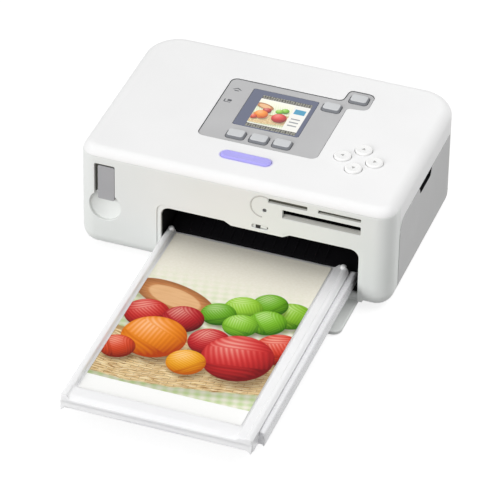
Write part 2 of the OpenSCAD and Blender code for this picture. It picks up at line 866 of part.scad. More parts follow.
module key_board() {
    cut = 0.4;
    domes = concat(PANEL_KEYS, [print_pos], [for (w = ARROW_WAYS) arrow_pos + arrow_ring * w]);
    color("#2F6B4A") difference() {
        union() {
            box([board_x0, board_y0, board_top - board_t], [board_x1, board_y1, board_top]);
            for (d = domes) z_rod(board_top - fuse, board_top + dome_h, d, dome_r);
        }
        slab([lcd_x, front_y + lcd_y], module_w + 2 * cut, module_d + 2 * cut, cut,
            board_top - board_t - past, board_top + past);
    }
}

// Sockets and the cable store --------------------------------------------------------

module card_socket() {
    front = front_y + wall;
    back = front + socket_l;
    side = 1.5;
    leg = 4;
    low_z = slot_wide[2] - side - 0.5;
    mid_z = slot_wide[3] + side;
    color("#2B2C30") difference() {
        union() {
            box([slot_wide[0] - side, front, low_z], [slot_x1 + side, back, mid_z]);
            box([slot_top_left[0] - side, front, mid_z - fuse],
                [slot_x1 + side, back - leg, slot_top_left[3] + 0.7]);
            for (x = [slot_wide[0] + leg, slot_x1 - 2 * leg])
                box([x, front + leg, open_top + bay_t], [x + leg, back - leg, low_z + fuse]);
        }
        box([slot_wide[0] + 0.5, front - past, slot_wide[2] + 0.3],
            [slot_wide[1] - 0.5, back - 2, slot_wide[3] - 0.2]);
        box([slot_top_left[0] + 0.3, front - past, slot_top_left[2] + 0.2],
            [slot_top_left[1] - 0.3, back - 8, slot_top_left[3] - 0.2]);
        box([slot_top_right[0] + 0.3, front - past, slot_top_right[2] + 0.1],
            [slot_top_right[1] - 0.3, back - 8, slot_top_right[3] - 0.1]);
    }
}

module access_lamp() {
    color("#5A5D62") {
        y_rod(front_y + 0.2, front_y + wall + 4, [lamp_x, lamp_z], lamp_r);
        y_rod(front_y + wall, front_y + wall + 1.5, [lamp_x, lamp_z], lamp_r + 0.8);
    }
}

module usb_plug_grip() {
    color("#ADADB0") box([plug_x - plug_w / 2 + plug_gap, front_y + plug_sink, plug_z0 + 0.8],
        [plug_x + plug_w / 2 - plug_gap, front_y + plug_deep, plug_z1 - 1.6]);
}

module cable_reel_case() {
    r = 11;
    w = 8;
    at = [front_y + plug_deep + 2 * r, floor_z + 1.6 * r];
    color("#8E9092") {
        x_rod(plug_x - 2, plug_x - 2 + w, at, r);
        x_rod(plug_x - 2 + w - fuse, plug_x + w - 1, at, r / 3);
        box([plug_x, at[0] - r / 2, floor_z], [plug_x - 3 + w, at[0] + r / 2, at[1] - r / 2]);
    }
}

// Cassette bay and cassette ----------------------------------------------------------

module cassette_bay() {
    y0 = front_y + wall;
    y1 = front_y + bay_deep;
    rail_w = 6;
    back_t = 1.2;
    back_z = 22;
    lug_x0 = pickup_x - pickup_w / 2 - lug_gap - lug_t;
    lug_x1 = pickup_x + pickup_w / 2 + lug_gap;
    wall_y0 = sill_y + sill_t + 0.1;
    color("#17151A") {
        // Roof, with the step of the opening left free, and the side walls
        box([open_x0 - bay_t, y0, open_top], [open_x1 + bay_t, y1, open_top + bay_t]);
        for (x = [open_x0 - bay_t, open_x1]) {
            box([x, wall_y0, floor_z], [x + bay_t, y1, open_top + fuse]);
            box([x, y0 + 0.2, sill_h + 0.2], [x + bay_t, y1, open_top + fuse]);
        }
        // Back wall above the paper path
        box([open_x0 - fuse, y1 - back_t, back_z], [open_x1 + fuse, y1, open_top + fuse]);
        // Rails under the cassette
        for (x = [open_x0 - fuse, open_x1 - rail_w])
            box([x, wall_y0, floor_z], [x + rail_w + fuse, y1, sill_h]);
        for (x = [lug_x0, lug_x1]) difference() {
            union() {
                box([x, pickup[0] - 3, pickup[1]], [x + lug_t, pickup[0] + 3, open_top + fuse]);
                x_rod(x, x + lug_t, pickup, 3);
            }
            x_rod(x - past, x + lug_t + past, pickup, pickup_shaft_r + run_fit);
        }
    }
}

module cassette_tray() {
    in_x0 = cass_x0 + cass_wall;
    in_x1 = cass_x1 - cass_wall;
    rib_top = stack_z;
    color("#DADCDD", 0.8) {
        difference() {
            box([cass_x0, cass_y0, cass_z], [cass_x1, cass_y1, lid_z]);
            box([in_x0, cass_y0 + cass_wall, cass_z + cass_floor],
                [in_x1, cass_y1 - 1.6, lid_z + past]);
            // Low rear wall, so that a sheet can leave
            box([in_x0, cass_y1 - 2, cass_z + 3], [in_x1, cass_y1 + past, lid_z + past]);
        }
        for (x = [paper_x0 - guide_gap - guide_t, paper_x1 + guide_gap])
            box([x, cass_y0 + cass_wall - fuse, cass_z + cass_floor - fuse],
                [x + guide_t, cass_y1 - 1.6 + fuse, lid_z]);
        for (x = [paper_x0 + 15, paper_x1 - 18])
            box([x, stack_y0, cass_z + cass_floor - fuse], [x + 3, lift_y0 - 1, rib_top]);
    }
}

module cassette_lid() {
    low = 0.8;
    color("#E9EAEB", 0.8) {
        difference() {
            union() {
                box([cass_x0, cass_y0, lid_z], [cass_x1, lid_y1, lid_top]);
                box([cass_x0, cass_y0, lid_top - fuse],
                    [cass_x0 + rim_left, lid_y1, lid_top + rim_h]);
                box([cass_x1 - rim_right, cass_y0, lid_top - fuse],
                    [cass_x1, lid_y1, lid_top + rim_h]);
                box([cass_x0, cass_y0, lid_top - fuse],
                    [cass_x1, cass_y0 + rim_front, lid_top + rim_h - low]);
            }
            // The lid's right corner is cut off at the inner end
            translate([cass_x1, lid_y1, lid_z - past]) rotate([0, 0, 45])
                cube([5, 5, 20], center = true);
        }
        z_rod(lid_top + rim_h - fuse, lid_top + rim_h + 1.2,
            [cass_x0 + rim_left - knob_r, lid_y1 - 2], knob_r);
        z_rod(lid_top + rim_h - fuse, lid_top + rim_h + 1.2,
            [cass_x1 - rim_right / 2 - 1, lid_y1 - 2], knob_r);
    }
}

module lift_plate() {
    color("#B9BBBE") {
        box([lift_x0, lift_y0, stack_z - lift_t], [lift_x1, lift_y1, stack_z]);
        for (x = [lift_x0, lift_x1 - 6])
            box([x, lift_y0, cass_z + cass_floor + 0.1], [x + 6, lift_y0 + 1.5, stack_z]);
    }
}

// Bowed leaf under the lift plate
module lift_spring() {
    low = cass_z + cass_floor;
    top = stack_z - lift_t;
    mid = lift_y1 - 14;
    color("#A8ABAE") x_prism(pickup_x - 6, pickup_x + 6) polygon([
        [mid - 12, low], [mid - 8, low], [mid - 3, top - spring_t], [mid + 3, top - spring_t],
        [mid + 8, low], [mid + 12, low], [mid + 12, low + spring_t],
        [mid + 8.6, low + spring_t], [mid + 3.6, top], [mid - 3.6, top],
        [mid - 8.6, low + spring_t], [mid - 12, low + spring_t]]);
}

module paper_stack() {
    color("#F7F7F4") box([paper_x0, stack_y0, stack_z], [paper_x1, stack_y1, stack_top]);
}

module printed_sheet() {
    y0 = front_y - print_out;
    color("#EFE8D2") box([paper_x0, y0, lid_top], [paper_x1, y0 + sheet_l, lid_top + sheet_t]);
}

// Chassis and paper drive ------------------------------------------------------------

module chassis_plate(x0, x1, foot_x) {
    difference() {
        union() {
            box([x0, plate_y0, floor_z], [x1, plate_y1, plate_top]);
            for (y = [plate_y0 + 4, plate_y1 - 16])
                box([min(x0, foot_x), y, floor_z], [max(x1, foot_x), y + 10, floor_z + plate_t]);
        }
        x_rod(x0 - past, x1 + past, platen, platen_shaft_r + run_fit);
        x_rod(x0 - past, x1 + past, capstan, capstan_journal + run_fit);
        x_rod(x0 - past, x1 + past, pinch, pinch_journal + run_fit);
        x_rod(x0 - past, x1 + past, pivot, pivot_r + run_fit);
    }
}

module left_chassis_plate() {
    color("#9FA3A6") {
        difference() {
            chassis_plate(left_out, left_in, left_in + 7);
            x_rod(left_out - past, left_in + past, motor, 3);
        }
        x_rod(gear_x0, left_out + fuse, idler, idler_pin_r);
        x_rod(gear_x1 + 0.1, left_out + fuse, idler, idler_pin_r + 1.5);
    }
}

module right_chassis_plate() {
    gap = 0.8;
    color("#9FA3A6") difference() {
        chassis_plate(right_in, right_out, right_in - 7);
        // Window through which the ribbon case slides in
        box([right_in - past, supply[0], spool_z - tube_r - gap],
            [right_out + past, takeup[0], spool_z + tube_r + gap]);
        for (at = [supply, takeup]) x_rod(right_in - past, right_out + past, at, tube_r + gap);
    }
}

module chassis_tie_bars() {
    bar = 4;
    color("#9FA3A6") {
        box([left_in, plate_y0 + 1, plate_top - 1 - bar], [right_in, plate_y0 + bar, plate_top - 1]);
        box([left_in, plate_y1 - 1 - bar, spool_z - bar / 2],
            [right_in, plate_y1 - 1, spool_z + bar / 2]);
    }
}

module paper_guide() {
    t = 1.2;
    y0 = front_y + bay_deep + 0.3;
    rear = platen[0] + platen_r + 1.5;
    shelf_z = rear_slot_z0 - 1.6;
    color("#33353A") {
        // Ramp from the cassette to the capstan
        x_prism(left_in, right_in) polygon([[y0, 11], [y0 + 6.4, 19], [y0 + 6.4, 20.6],
            [y0, 12.6]]);
        // Shelf from the platen to the slot in the rear panel
        box([left_in, rear, shelf_z], [right_in, plate_y1 - 8, shelf_z + t]);
        box([rear_slot_x0 - 2, plate_y1 - 8 - fuse, shelf_z],
            [rear_slot_x1 + 2, rear_y - wall - 0.3, shelf_z + t]);
    }
}

module platen_roller() {
    color("#2E2F31") {
        x_rod(roller_x0, roller_x1, platen, platen_r);
        x_rod(gear_x0, right_out + 1.5, platen, platen_shaft_r);
    }
}

module platen_gear() {
    color("#E8E4D8") gear(platen, platen_teeth, 0, platen_shaft_r + run_fit);
}

module capstan_roller() {
    color("#C4C7CA") {
        x_rod(left_in + 1, right_in - 1, capstan, capstan_r);
        x_rod(gear_x0, right_out + 1.5, capstan, capstan_journal);
    }
}

module capstan_gear() {
    turn = mesh_turn(capstan_angle, 0, platen_teeth, capstan_teeth);
    color("#E8E4D8") gear(capstan, capstan_teeth, turn, capstan_journal + run_fit);
}

module pinch_roller() {
    color("#3A3B3D") {
        x_rod(roller_x0, roller_x1, pinch, pinch_r);
        x_rod(left_out - 1, right_out + 1.5, pinch, pinch_journal);
    }
}

module pickup_roller() {
    half = pickup_w / 2;
    reach = half + lug_gap + lug_t + 0.5;
    color("#26272A") {
        for (x = [pickup_x - half, pickup_x + half - 10]) x_rod(x, x + 10, pickup, pickup_r);
        x_rod(pickup_x - half, pickup_x + half, pickup, pickup_shaft_r + 1);
        x_rod(pickup_x - reach, pickup_x + reach, pickup, pickup_shaft_r);
    }
}

module idler_gear() {
    turn = mesh_turn(idler_angle, 0, platen_teeth, idler_teeth);
    color("#E8E4D8") gear(idler, idler_teeth, turn, idler_pin_r + run_fit);
}

module motor_pinion() {
    idler_turn = mesh_turn(idler_angle, 0, platen_teeth, idler_teeth);
    turn = mesh_turn(0, idler_turn, idler_teeth, pinion_teeth);
    color("#C9A64B") {
        gear(motor, pinion_teeth, turn, motor_shaft_r + run_fit);
        x_rod(gear_x0 - 0.5, left_in + 1, motor, motor_shaft_r + 0.3);
    }
}

module drive_motor() {
    color("#8F9396") difference() {
        union() {
            x_rod(left_in, left_in + motor_l, motor, motor_r);
            x_rod(left_in + motor_l - fuse, left_in + motor_l + 2, motor, 3.5);
            x_rod(left_out, left_in + fuse, motor, 2.9);
        }
        x_rod(left_out - past, left_in + 6, motor, motor_shaft_r + 0.3 + run_fit);
    }
}

// Ribbon and print head --------------------------------------------------------------

module print_head() {
    color("#D8D4CC") box([head_x0, platen[0] - 2.5, head_z], [head_x1, platen[0] + 2.5, sink_z]);
}

module heat_sink() {
    fins = 4;
    gap = 1.8;
    pitch = (head_y1 - head_y0 + gap) / fins;
    base = 4.5;
    color("#B7BBC0") difference() {
        box([head_x0, head_y0, sink_z], [head_x1, head_y1, sink_top]);
        for (i = [1 : fins - 1])
            box([head_x0 - past, head_y0 + i * pitch - gap, sink_z + base],
                [head_x1 + past, head_y0 + i * pitch, sink_top + past]);
    }
}

module head_arms() {
    color("#8D9195") for (x = [head_x0 - arm_t, head_x1]) x_prism(x, x + arm_t) difference() {
        union() {
            polygon([[head_y0, sink_z + 4], [head_y1, sink_z + 4], [head_y1, arm_z0 - 1],
                [head_y1 + 1, arm_z0], [pivot[0] - 4, arm_z0], [pivot[0] + 3, pivot[1]],
                [pivot[0] + 2, arm_z1], [head_y0 + 3, arm_z1], [head_y0, arm_z1 - 3]]);
            translate(pivot) circle(r = 4);
        }
        translate(pivot) circle(r = pivot_r + run_fit);
    }
}

module head_pivot_rod() {
    color("#C4C7CA") x_rod(left_out, right_out, pivot, pivot_r);
}

module ribbon_case() {
    web = 3.2;
    web_h = 2;
    color("#3B3D42") difference() {
        union() {
            for (at = [supply, takeup]) x_rod(case_x0, case_x1, at, tube_r);
            for (x = [case_x0 + disc_t, case_x1 - disc_t - web])
                box([x, supply[0] + tube_r - past, spool_z - web_h],
                    [x + web, takeup[0] - tube_r + past, spool_z + web_h]);
            box([case_x1 - disc_t - web, head_y0 + 1, spool_z - web_h],
                [case_x1 + 8, head_y1 - 1, spool_z + web_h]);
        }
        for (at = [supply, takeup]) {
            x_rod(case_x0 + disc_t, case_x1 - disc_t, at, tube_r - tube_wall);
            x_rod(case_x0 - past, case_x1 + past, at, spool_end_r + run_fit);
        }
        // Slots through which the film leaves and enters
        box([case_x0 + 4, supply[0] + 2, film_z - 0.4], [case_x1 - 4, supply[0] + tube_r + 0.5, 34]);
        box([case_x0 + 4, takeup[0] - tube_r - 0.5, film_z - 0.4], [case_x1 - 4, takeup[0] - 2, 34]);
    }
}

module spool(at, r) {
    x_rod(case_x0 + disc_t + 2, case_x1 - disc_t - 2, at, r);
    x_rod(case_x0 + disc_t + 0.5, case_x1 - disc_t - 0.5, at, spool_end_r + 1);
    x_rod(case_x0 - 0.5, case_x1 + 0.5, at, spool_end_r);
}

module supply_spool() {
    color("#D9C24A") spool(supply, supply_r);
}

module takeup_spool() {
    color("#6B5B95") spool(takeup, takeup_r);
}

module ribbon_film() {
    a = [supply[0] + 3, spool_z - supply_r + 0.3];
    b = [supply[0] + 11.5, film_z];
    c = [takeup[0] - 11.5, film_z];
    d = [takeup[0] - 2.4, spool_z - takeup_r + 0.2];
    up = [0, film_t];
    color("#4A3A66") x_prism(case_x0 + 5, case_x1 - 5)
        polygon([a, b, c, d, d + up, c + up, b + up, a + up]);
}

// Boards and rear sockets --------------------------------------------------------------

module main_board() {
    z = main_z + main_t;
    can_r = 3;
    can_h = 11;
    chip = 13;
    rim = 4;
    color("#2F6B4A") {
        box([main_x0, main_y0, main_z], [main_x1, main_y1, z]);
        translate([main_x0 + 1.5 * rim, main_y0 + chip + rim, z - fuse]) cube([chip, chip, 2]);
        box([main_x0 + rim, main_y0 + rim, z - fuse], [main_x1 - rim, main_y0 + 2 * rim, z + 5]);
        for (y = [0, 1]) z_rod(z - fuse, z + can_h,
            [main_x1 - 2 * can_r, main_y1 - (2 + 2.5 * y) * can_r], can_r);
    }
}

module dc_jack() {
    w = 10;
    y0 = rear_y - 14;
    color("#26272A") {
        difference() {
            union() {
                box([jack_x - w / 2, y0, jack_z - w / 2],
                    [jack_x + w / 2, rear_y - wall, jack_z + w / 2]);
                y_rod(rear_y - wall - fuse, rear_y - 0.4, [jack_x, jack_z], 3.5);
                box([jack_x - 3, y0, main_z + main_t - 1], [jack_x + 3, y0 + 6, jack_z]);
            }
            y_rod(y0 + 4, rear_y + past, [jack_x, jack_z], 2.75);
        }
        y_rod(y0 + 4 - fuse, rear_y - 2, [jack_x, jack_z], 0.8);
    }
}

module usb_port() {
    y0 = rear_y - 16;
    color("#B4B7BA") difference() {
        union() {
            box([usb_x - 6, y0, usb_z - 5.5], [usb_x + 6, rear_y - 0.6, usb_z + 5.5]);
            box([usb_x - 5, y0, floor_z], [usb_x + 5, y0 + 6, usb_z]);
        }
        box([usb_x - 4.2, y0 + 6, usb_z - 3.9], [usb_x + 4.2, rear_y + past, usb_z - 1.6]);
        box([usb_x - 4.2, y0 + 6, usb_z + 1.6], [usb_x + 4.2, rear_y + past, usb_z + 3.9]);
        box([usb_x - 4.2, rear_y - 2.6, usb_z - 3.9], [usb_x + 4.2, rear_y + past, usb_z + 3.9]);
    }
}

// Draw ---------------------------------------------------------------------------------

top_cover();
front_panel();
left_side_panel();
rear_panel();
base_tray();
rubber_feet();
case_screws();
ink_door();
door_hinge_pins();
front_cover();
cover_latch();
control_panel();
lcd_window();
lcd_module();
panel_key(PANEL_KEYS[0]);  // soft_key_left
panel_key(PANEL_KEYS[1]);  // soft_key_middle
panel_key(PANEL_KEYS[2]);  // soft_key_right
panel_key(PANEL_KEYS[3]);  // menu_key
panel_key(PANEL_KEYS[4]);  // power_key
print_key();
arrow_key(ARROW_WAYS[0]);  // arrow_key_up
arrow_key(ARROW_WAYS[1]);  // arrow_key_down
arrow_key(ARROW_WAYS[2]);  // arrow_key_left
arrow_key(ARROW_WAYS[3]);  // arrow_key_right
key_board();
card_socket();
access_lamp();
cable_reel_case();
usb_plug_grip();
cassette_bay();
cassette_tray();
cassette_lid();
lift_plate();
lift_spring();
paper_stack();
printed_sheet();
left_chassis_plate();
right_chassis_plate();
chassis_tie_bars();
paper_guide();
platen_roller();
platen_gear();
capstan_roller();
capstan_gear();
pinch_roller();
pickup_roller();
idler_gear();
drive_motor();
motor_pinion();
print_head();
heat_sink();
head_arms();
head_pivot_rod();
ribbon_case();
supply_spool();
takeup_spool();
ribbon_film();
main_board();
dc_jack();
usb_port();
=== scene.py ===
"""Looks of a compact photo printer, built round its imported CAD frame.

Every shape is worked out in millimetres in the frame of the CAD model: +X to the user's
right, -Y to the front, +Z up. A mesh is turned to metres when it becomes an object.
"""

import json
import logging
import math
from collections.abc import Callable, Sequence
from dataclasses import dataclass, field
from enum import Enum

import bpy
import numpy as np
from mathutils import Matrix, Vector
from mathutils.geometry import delaunay_2d_cdt


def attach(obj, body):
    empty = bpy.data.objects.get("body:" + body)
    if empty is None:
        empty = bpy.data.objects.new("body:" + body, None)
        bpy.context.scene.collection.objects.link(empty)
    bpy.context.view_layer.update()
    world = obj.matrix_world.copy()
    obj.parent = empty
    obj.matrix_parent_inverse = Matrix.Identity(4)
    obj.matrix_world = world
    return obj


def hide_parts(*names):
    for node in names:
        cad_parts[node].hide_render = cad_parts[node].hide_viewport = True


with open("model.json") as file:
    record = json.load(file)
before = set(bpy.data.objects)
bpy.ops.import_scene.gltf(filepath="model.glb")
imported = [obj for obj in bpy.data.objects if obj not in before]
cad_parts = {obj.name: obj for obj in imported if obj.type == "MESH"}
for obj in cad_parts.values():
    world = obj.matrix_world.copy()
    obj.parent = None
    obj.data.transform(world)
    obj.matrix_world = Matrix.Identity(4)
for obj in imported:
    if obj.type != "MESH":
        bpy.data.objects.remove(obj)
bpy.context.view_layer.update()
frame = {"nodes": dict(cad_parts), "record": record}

LOG = logging.getLogger("printer")
Points = np.ndarray
Profile = list[tuple[float, float]]
MM = 0.001

# Sizes that the CAD model fixes, in millimetres
FRONT = 13.0  # y of the front face
BACK = 135.0  # y of the rear face
SIDE = 89.0  # x of the right side
TOP = 66.0  # z of the flat top
UNDER = 1.5  # z of the underside
WALL = 2.2  # thickness of the shells
TOP_ROLL = 6.0  # radius from the top into the walls
LOW_ROLL = 9.0  # radius from the walls into the underside
FRONT_CORNER = 10.0  # radius of the front corners, seen from above
REAR_CORNER = 20.0  # radius of the rear corners, seen from above
BAND = FRONT + 15.3  # y where the front panel meets the sides
REAR_BAND = 117.0  # y where the sides meet the rear panel
SKIRT = 51.0  # z where the top cover meets the sides
FRONT_SEAM = 61.5  # z where the top cover meets the front panel
BASE_RIM = 8.0  # z of the base tray's rim
OPEN_X0, OPEN_X1, OPEN_TOP = -41.2, 71.0, 37.3  # left, right and top of the opening
LID_Z, LID_TOP = 14.4, 16.0  # underside and face of the cassette's lid
CASSETTE = (-40.6, 67.8, -135.0, 51.0)  # left, right, front and rear
LAMP = (17.9, 50.7)  # x and z of the access lamp


# Outlines in two dimensions ------------------------------------------------------------


def arc(centre: Sequence[float], radius: float, start: float, end: float, steps: int) -> list:
    """Points of an arc.

    Args:
        centre: Middle of the arc.
        radius: Its radius.
        start: First angle in degrees.
        end: Last angle in degrees.
        steps: Number of chords.

    Returns:
        The points, both ends included.
    """
    angles = np.radians(np.linspace(start, end, steps + 1))
    return [(centre[0] + radius * math.cos(a), centre[1] + radius * math.sin(a)) for a in angles]


def rounded(
    cx: float, cy: float, width: float, depth: float, radius: float, steps: int = 8
) -> Points:
    """Counter-clockwise rectangle with round corners about a middle point.

    Args:
        cx: First coordinate of the middle.
        cy: Second coordinate of the middle.
        width: Size along the first axis.
        depth: Size along the second axis.
        radius: Radius of the corners.
        steps: Chords in each corner.

    Returns:
        The closed outline.
    """
    x, y = width / 2 - radius, depth / 2 - radius
    loop: list = []
    for sx, sy, turn in ((1, -1, -90), (1, 1, 0), (-1, 1, 90), (-1, -1, 180)):
        loop += arc((cx + sx * x, cy + sy * y), radius, turn, turn + 90, steps)
    return tidy(np.array(loop))


def disc(cx: float, cy: float, radius: float, steps: int = 40) -> Points:
    """Counter-clockwise circle."""
    return np.array(arc((cx, cy), radius, 0, 360, steps)[:-1])


def tidy(loop: Points) -> Points:
    """Drops points of a closed loop that repeat their neighbour."""
    gap = np.linalg.norm(loop - np.roll(loop, 1, axis=0), axis=1)
    return loop[gap > 1e-6]


def fillet(corners: Sequence[tuple[float, float, float]], steps: int = 6) -> Points:
    """Closed polygon whose corners are rounded.

    Args:
        corners: x, y and radius of each corner, in order.
        steps: Chords in a full quarter turn.

    Returns:
        The rounded loop.
    """
    loop: list = []
    count = len(corners)
    for i, (x, y, radius) in enumerate(corners):
        here = np.array((x, y))
        before = np.array(corners[i - 1][:2]) - here
        after = np.array(corners[(i + 1) % count][:2]) - here
        before, after = before / np.linalg.norm(before), after / np.linalg.norm(after)
        half = math.acos(max(-1.0, min(1.0, float(before @ after)))) / 2
        if radius <= 0 or half > 1.55:
            loop.append(tuple(here))
            continue
        reach = radius / math.tan(half)
        middle = here + (before + after) / np.linalg.norm(before + after) * radius / math.sin(half)
        first, last = here + before * reach - middle, here + after * reach - middle
        a0, a1 = math.atan2(first[1], first[0]), math.atan2(last[1], last[0])
        turn = (a1 - a0 + math.pi) % (2 * math.pi) - math.pi
        chords = max(2, round(steps * abs(turn) / (math.pi / 2)))
        loop += arc(middle, radius, math.degrees(a0), math.degrees(a0 + turn), chords)
    return tidy(np.array(loop))


def split(loop: Points, step: float) -> Points:
    """Adds points to a closed loop so that no chord is longer than step.

    Args:
        loop: The closed loop.
        step: Greatest length of a chord.

    Returns:
        The loop with its new points.
    """
    out: list = []
    for a, b in zip(loop, np.roll(loop, -1, axis=0)):
        parts = max(1, math.ceil(float(np.linalg.norm(b - a)) / step - 1e-6))
        out += [a + (b - a) * k / parts for k in range(parts)]
    return np.array(out)


def shift(loop: Points, inset: float) -> Points:
    """Moves a closed loop to the left of its own direction by inset, with mitred corners.

    Args:
        loop: The closed loop.
        inset: How far it moves.

    Returns:
        The moved loop.
    """
    ahead = np.roll(loop, -1, axis=0) - loop
    ahead /= np.linalg.norm(ahead, axis=1)[:, None]
    left = np.stack((-ahead[:, 1], ahead[:, 0]), axis=1)
    mean = left + np.roll(left, 1, axis=0)
    mean /= np.maximum((mean * mean).sum(axis=1), 0.5)[:, None] / 2
    return loop + mean * inset


def within(points: Points, loops: Sequence[Points]) -> np.ndarray:
    """Whether points lie in the region that loops bound, by the even-odd rule.

    Args:
        points: The points.
        loops: Closed loops.

    Returns:
        One truth value a point.
    """
    hit = np.zeros(len(points), bool)
    for loop in loops:
        a, b = loop, np.roll(loop, -1, axis=0)
        for (x0, y0), (x1, y1) in zip(a, b):
            if y0 == y1:
                continue
            cross = (points[:, 1] < y0) != (points[:, 1] < y1)
            hit ^= cross & (points[:, 0] < (x1 - x0) * (points[:, 1] - y0) / (y1 - y0) + x0)
    return hit


def clearance(points: Points, loops: Sequence[Points]) -> np.ndarray:
    """Distance of points to the nearest chord of the loops.

    Args:
        points: The points.
        loops: Closed loops.

    Returns:
        One distance a point.
    """
    best = np.full(len(points), 1e9)
    for loop in loops:
        a, d = loop, np.roll(loop, -1, axis=0) - loop
        for start, along in zip(a, d):
            size = max(float(along @ along), 1e-12)
            t = np.clip(((points - start) @ along) / size, 0, 1)
            best = np.minimum(best, np.linalg.norm(points - start - t[:, None] * along, axis=1))
    return best


# Surfaces on which outlines are laid -----------------------------------------------------


class Plane:
    """Flat or gently crowned face. A point is (u, v); depth runs into the material."""

    def __init__(
        self,
        origin: Sequence[float] = (0, 0, 0),
        u: Sequence[float] = (1, 0, 0),
        v: Sequence[float] = (0, 1, 0),
        lift: Callable[[Points], np.ndarray] | None = None,
        thick: float = 0.0,
    ) -> None:
        """Sets the face up.

        Args:
            origin: Place of (0, 0).
            u: Unit vector of the first direction.
            v: Unit vector of the second direction.
            lift: Height of the face above its plane at given points.
            thick: Where above 0, depths past half of it are measured from the flat back.
        """
        self.origin, self.u, self.v = (np.array(a, float) for a in (origin, u, v))
        self.normal = np.cross(self.u, self.v)
        self.lift, self.thick = lift, thick

    def __call__(self, points: Points, depth: float) -> Points:
        """Places points at a depth below the face."""
        height = np.full(len(points), -float(depth))
        if self.lift is not None and (self.thick <= 0 or depth <= self.thick / 2):
            height += self.lift(points)
        flat = self.origin + points[:, :1] * self.u + points[:, 1:] * self.v
        return flat + height[:, None] * self.normal


class BodySkin:
    """The body's whole outer face, laid flat like an opened tin.

    A point over the flat top is at its own x and y. Past the edge of the flat top, distance
    runs over the top roll, down the wall and round the lower roll to the underside.
    """

    HALF = SIDE - TOP_ROLL
    Y0, Y1 = FRONT + TOP_ROLL, BACK - TOP_ROLL
    ROLL = TOP_ROLL * math.pi / 2
    DROP = TOP - TOP_ROLL - UNDER - LOW_ROLL
    LOW = LOW_ROLL * math.pi / 2
    # Middle, signs and radius of each corner of the flat top, counter-clockwise from right front
    CORNERS = (
        (SIDE - FRONT_CORNER, FRONT + FRONT_CORNER, 1, -1, FRONT_CORNER - TOP_ROLL),
        (SIDE - REAR_CORNER, BACK - REAR_CORNER, 1, 1, REAR_CORNER - TOP_ROLL),
        (REAR_CORNER - SIDE, BACK - REAR_CORNER, -1, 1, REAR_CORNER - TOP_ROLL),
        (FRONT_CORNER - SIDE, FRONT + FRONT_CORNER, -1, -1, FRONT_CORNER - TOP_ROLL),
    )

    def __call__(self, points: Points, depth: float) -> Points:
        """Places points at a depth below the face."""
        x, y = points[:, 0], points[:, 1]
        sides = np.stack((x - self.HALF, -self.HALF - x, self.Y0 - y, y - self.Y1))
        normals = np.array(((1, 0), (-1, 0), (0, -1), (0, 1)), float)
        pick = sides.argmax(axis=0)
        away, out = sides.max(axis=0), normals[pick]
        for cx, cy, sx, sy, radius in self.CORNERS:
            cut = ((x - cx) * sx > 0) & ((y - cy) * sy > 0)
            if cut.any():
                w = points[cut] - (cx, cy)
                size = np.maximum(np.linalg.norm(w, axis=1), 1e-9)
                away[cut], out[cut] = size - radius, w / size[:, None]
        base = points - out * np.maximum(away, 0)[:, None]
        roll = np.clip(away, 0, self.ROLL) / TOP_ROLL
        drop = np.clip(away - self.ROLL, 0, self.DROP)
        low = np.clip(away - self.ROLL - self.DROP, 0, self.LOW) / LOW_ROLL
        under = np.maximum(away - self.ROLL - self.DROP - self.LOW, 0)
        sideways = (TOP_ROLL - depth) * np.sin(roll) - (LOW_ROLL - depth) * (1 - np.cos(low))
        sideways -= under
        z = (
            TOP - depth
            - (TOP_ROLL - depth) * (1 - np.cos(roll))
            - drop
            - (LOW_ROLL - depth) * np.sin(low)
        )
        flat = base + out * sideways[:, None]
        return np.column_stack((flat, z))

    @classmethod
    def reach(cls, z: float) -> float:
        """Distance from the flat top's edge to a height on the wall or a roll.

        Args:
            z: The height.

        Returns:
            The distance on the opened skin.
        """
        if z > TOP - TOP_ROLL:
            return TOP_ROLL * math.acos((z - TOP + TOP_ROLL) / TOP_ROLL)
        if z >= UNDER + LOW_ROLL:
            return cls.ROLL + TOP - TOP_ROLL - z
        return cls.ROLL + cls.DROP + LOW_ROLL * math.asin((UNDER + LOW_ROLL - z) / LOW_ROLL)

    @classmethod
    def front(cls, x: float, z: float) -> tuple[float, float]:
        """Place of a point of the front wall on the opened skin, also round the corners.

        Args:
            x: Distance from the middle along the face, which also runs round the corners.
            z: Its height.

        Returns:
            x and y on the opened skin.
        """
        cx, cy, sx, _, radius = cls.CORNERS[0 if x > 0 else 3]
        away = cls.reach(z)
        turn = max(0.0, (x - cx) * sx) / FRONT_CORNER
        if turn == 0:
            return x, cls.Y0 - away
        return cx + sx * math.sin(turn) * (radius + away), cy - math.cos(turn) * (radius + away)

    @classmethod
    def right(cls, y: float, z: float) -> tuple[float, float]:
        """Place of a point of the right wall on the opened skin, also round the rear corner.

        Args:
            y: Its y in space.
            z: Its height.

        Returns:
            x and y on the opened skin.
        """
        cx, cy, _, _, radius = cls.CORNERS[1]
        away = cls.reach(z)
        if y <= cy:
            return cls.HALF + away, y
        turn = math.asin((y - cy) / REAR_CORNER)
        return cx + math.cos(turn) * (radius + away), cy + math.sin(turn) * (radius + away)

    @classmethod
    def rows(cls) -> list[Points]:
        """Rings round the body that carry its curvature, as open polylines."""
        steps = [cls.ROLL * k / 12 for k in range(13)]
        steps += [cls.ROLL + cls.DROP * k / 8 for k in range(1, 9)]
        steps += [cls.ROLL + cls.DROP + cls.LOW * k / 12 for k in range(1, 13)]
        rings = []
        for away in steps:
            loop: list = []
            for cx, cy, sx, sy, radius in cls.CORNERS:
                turn = {(1, -1): -90, (1, 1): 0, (-1, 1): 90, (-1, -1): 180}[(sx, sy)]
                loop += arc((cx, cy), radius + away, turn, turn + 90, 14 if sy < 0 else 20)
            ring = split(np.array(loop), 5.0)
            rings.append(np.vstack((ring, ring[:1])))
        return rings


# Meshes ----------------------------------------------------------------------------------


